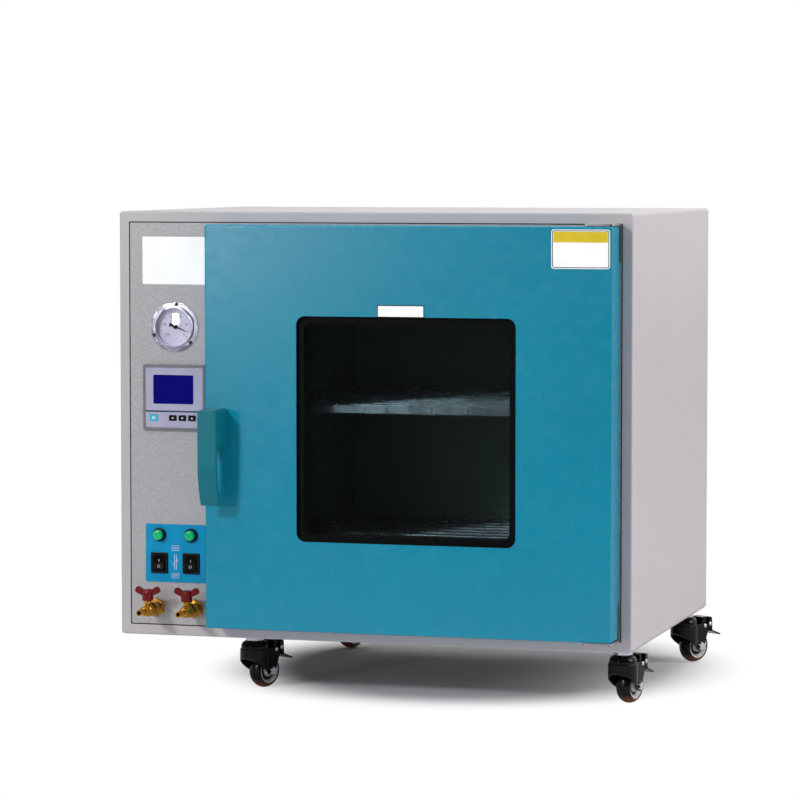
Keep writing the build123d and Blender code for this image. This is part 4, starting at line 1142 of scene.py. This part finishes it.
@dataclass
class Fasteners:
    """Round-headed screws along the edges of the rear cover."""

    bench: Bench
    back: float = 540.0
    head: Profile = ((3.4, 0), (3.4, 0.4), (2.72, 1.3), (1.19, 1.7))
    columns: tuple[float, ...] = (-372.0, -124.0, 124.0, 372.0)
    edges: tuple[float, ...] = (11.0, 610.0)
    rows: tuple[float, ...] = (160.0, 310.0, 460.0)

    def build(self) -> None:
        """Drive the screws along the top and bottom edges, then those up both sides."""
        places = [(x, z) for x in self.columns for z in self.edges]
        places += [(x, z) for x in (self.columns[0], self.columns[-1]) for z in self.rows]
        for number, (x, z) in enumerate(places):
            place = (x, self.back, z)
            head = self.bench.turned(f"rear_screw_{number}", place, Axis.BACKWARD, self.head, 20)
            self.bench.hand_over(head, "screw_steel", "cabinet", "galvanised")


@dataclass(frozen=True)
class Cap:
    """A turned cap that sits on both faces of every caster.

    Its spot is along the trail, across and up, in millimetres from the stem at the underside. Its
    profile is (radius, height) pairs in millimetres.
    """

    name: str
    spot: Triple
    profile: Profile
    finish: str
    body: str
    slot: str
    sides: int = 24


RIVET_HEAD = ((2.95, 0), (2.95, 0.9), (2.4, 1.35), (1.2, 1.55))
BOLT_HEAD = ((7.1, 0), (7.1, 3.2), (6.2, 4.3), (2.0, 4.5))
COVER_DISC = ((15.0, 0), (15.0, 0.4), (13.0, 1.3), (9.5, 1.6))
CAPS = (
    Cap("fork_rivet", (29, 15.9, -22.5), RIVET_HEAD, "zinc", "caster", "bright_steel"),
    Cap("pedal_rivet", (41.3, 14.9, -20.5), RIVET_HEAD, "zinc", "pedal", "bright_steel"),
    Cap("axle_bolt", (20, 15.9, -54), BOLT_HEAD, "zinc", "caster", "bright_steel", 6),
    Cap("bearing_cover", (20, 5.2, -54), COVER_DISC, "caster_black", "wheel", "caster_black", 32),
)


@dataclass
class Casters:
    """The casters' plated rivets and axle ends, and the dark bearing covers in their rims.

    A place is the stem's x and y in millimetres and the caster's turn in degrees.
    """

    bench: Bench
    places: dict[str, Triple] = field(default_factory=lambda: {
        "front_left": (-190, 40, 64), "front_right": (362, 40, 74),
        "rear_left": (-190, 475, 60), "rear_right": (362, 475, 57)})

    def fit(self, cap: Cap, corner: str, side: int) -> None:
        """Set a cap on one face of a caster.

        Args:
            cap: what is fitted.
            corner: which caster.
            side: 1 or -1, the face that the cap looks out of.
        """
        x, y, degrees = self.places[corner]
        turn = math.radians(degrees)
        along, across, up = cap.spot
        place = (x + along * math.cos(turn) - side * across * math.sin(turn),
                 y + along * math.sin(turn) + side * across * math.cos(turn), up)
        name = f"{cap.name}_{corner}_{'near' if side < 0 else 'far'}"
        facing = (-side * math.pi / 2, 0, turn)
        piece = self.bench.turned(name, place, facing, cap.profile, cap.sides)
        self.bench.hand_over(piece, cap.finish, f"{cap.body}_{corner}", cap.slot)

    def build(self) -> None:
        """Fit every caster on both of its faces."""
        for corner in self.places:
            for side in (-1, 1):
                for cap in CAPS:
                    self.fit(cap, corner, side)


# ---------------------------------------------------------------- studio


@dataclass(frozen=True)
class Lamp:
    """A soft lamp that faces the oven.

    Its azimuth and elevation are in degrees, its distance and size in metres, its power in watts.
    """

    name: str
    azimuth: float
    elevation: float
    distance: float
    size: Pair
    power: float
    colour: Triple = (1.0, 1.0, 1.0)


LAMPS = (
    Lamp("key", -25, 24, 5.0, (0.6, 0.6), 78),
    Lamp("front", -23, 5, 5.0, (0.4, 0.4), 18),
    Lamp("side", 84, 25, 5.0, (2.4, 2.4), 114, (1.0, 0.945, 0.945)),
    Lamp("top", 10, 75, 4.0, (3, 3), 34),
    Lamp("back", 170, 40, 5.0, (3, 3), 45),
)


@dataclass
class Studio:
    """The floor, the lamps, the world and the camera."""

    datum: Datum
    azimuth: float = 16.17
    elevation: float = 3.89
    camera_place: Triple = (1433.45, -4794.46, 691.37)
    lens: float = 157.5
    soft_colour: Four = (1.0, 0.97, 1.0, 1.0)
    soft_light: float = 0.22
    viewer_side: float = 0.03
    viewer_band: Pair = (-0.6, 0.1)
    floor_size: float = 16.0
    floor_front: float = 1.3
    lamp_middle: Triple = (0.0, 0.0, 0.4)
    glint_spot: Triple = (-295.5, 0.0, 463.5)
    glint_size: Pair = (0.018, 0.031)
    glint_power: float = 0.16

    def floor(self) -> None:
        """Lay a wide pale floor."""
        bpy.ops.object.select_all(action="DESELECT")
        place = (0, self.floor_size / 2 - self.floor_front, 0)
        bpy.ops.mesh.primitive_plane_add(size=self.floor_size, location=place)
        floor = bpy.context.object
        bpy.ops.object.transform_apply(location=True, rotation=True, scale=True)
        floor.name = "studio_floor"
        floor.data.materials.append(FINISHES["studio_floor"].material())

    def world(self) -> None:
        """Light the room softly, with a white backdrop that is darker on the viewer's side."""
        world = bpy.data.worlds.new("studio")
        bpy.context.scene.world = world
        world.use_nodes = True
        nodes = Nodes(world.node_tree)
        output = nodes.node("ShaderNodeOutputWorld")
        soft = nodes.node("ShaderNodeBackground", Color=self.soft_colour, Strength=self.soft_light)
        white = nodes.node("ShaderNodeBackground", Color=(1, 1, 1, 1))
        view = nodes.node("ShaderNodeTexCoord").outputs["Generated"]
        direction = nodes.node("ShaderNodeSeparateXYZ")
        nodes.link(view, direction.inputs["Vector"])
        ends = (*self.viewer_band, self.viewer_side, 1.0)
        fade = nodes.remap(direction.outputs["Y"], ends, smooth=True)
        strength = nodes.math("MAXIMUM", fade, nodes.seen("Is Camera Ray"))
        nodes.link(strength, white.inputs["Strength"])
        seen = nodes.seen("Is Camera Ray", "Is Glossy Ray", "Is Transmission Ray")
        backdrop = nodes.mixed(seen, soft.outputs["Background"], white.outputs["Background"])
        nodes.link(backdrop, output.inputs["Surface"])

    def hang(self, name: str, target: Vector, away: Vector, size: Sequence[float], power: float,
             colour: Sequence[float] = (1.0, 1.0, 1.0)) -> None:
        """Hang a rectangular lamp that faces a target.

        Args:
            name: the lamp's name.
            target: what it faces, in metres.
            away: from the target to the lamp, in metres.
            size: the lamp's width and height in metres.
            power: its strength in watts.
            colour: its colour.
        """
        data = bpy.data.lights.new(name, "AREA")
        data.shape = "RECTANGLE"
        data.size, data.size_y = size
        data.energy = power
        data.color = colour
        lamp = bpy.data.objects.new(name, data)
        lamp.location = target + away
        lamp.rotation_euler = away.to_track_quat("Z", "Y").to_euler()
        bpy.context.scene.collection.objects.link(lamp)

    def glint(self) -> None:
        """Hang a small lamp that the gauge's glass mirrors."""
        glass = self.datum.at(*self.glint_spot)
        away = self.datum.at(*self.camera_place) - glass
        mirrored = Vector((-away.x, away.y, -away.z))
        self.hang("glint", glass, mirrored, self.glint_size, self.glint_power)

    def camera(self) -> None:
        """Set the camera at the front right, level with the oven's top."""
        data = bpy.data.cameras.new("camera")
        data.lens = self.lens
        data.sensor_width = 36
        data.clip_end = 100
        camera = bpy.data.objects.new("camera", data)
        camera.location = self.datum.at(*self.camera_place)
        away = heading(self.azimuth, self.elevation)
        camera.rotation_euler = away.to_track_quat("Z", "Y").to_euler()
        bpy.context.scene.collection.objects.link(camera)
        bpy.context.scene.camera = camera

    def build(self) -> None:
        """Set up the studio."""
        bpy.context.scene.view_settings.view_transform = "Standard"
        self.floor()
        self.world()
        middle = Vector(self.lamp_middle)
        for lamp in LAMPS:
            away = heading(lamp.azimuth, lamp.elevation) * lamp.distance
            self.hang(lamp.name, middle, away, lamp.size, lamp.power, lamp.colour)
        self.glint()
        self.camera()


def main() -> None:
    """Dress the CAD nodes, build each sub-assembly and set up the studio."""
    logging.basicConfig(level=logging.INFO, format="%(name)s: %(message)s")
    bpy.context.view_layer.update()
    datum = Datum.from_frame()
    bench = Bench(datum)
    dress_nodes()
    for assembly in (Gauge, Controller, SwitchPlate, Labels, Seams, Fasteners, Casters):
        assembly(bench).build()
    Studio(datum).build()


if __name__ == "__main__":
    main()
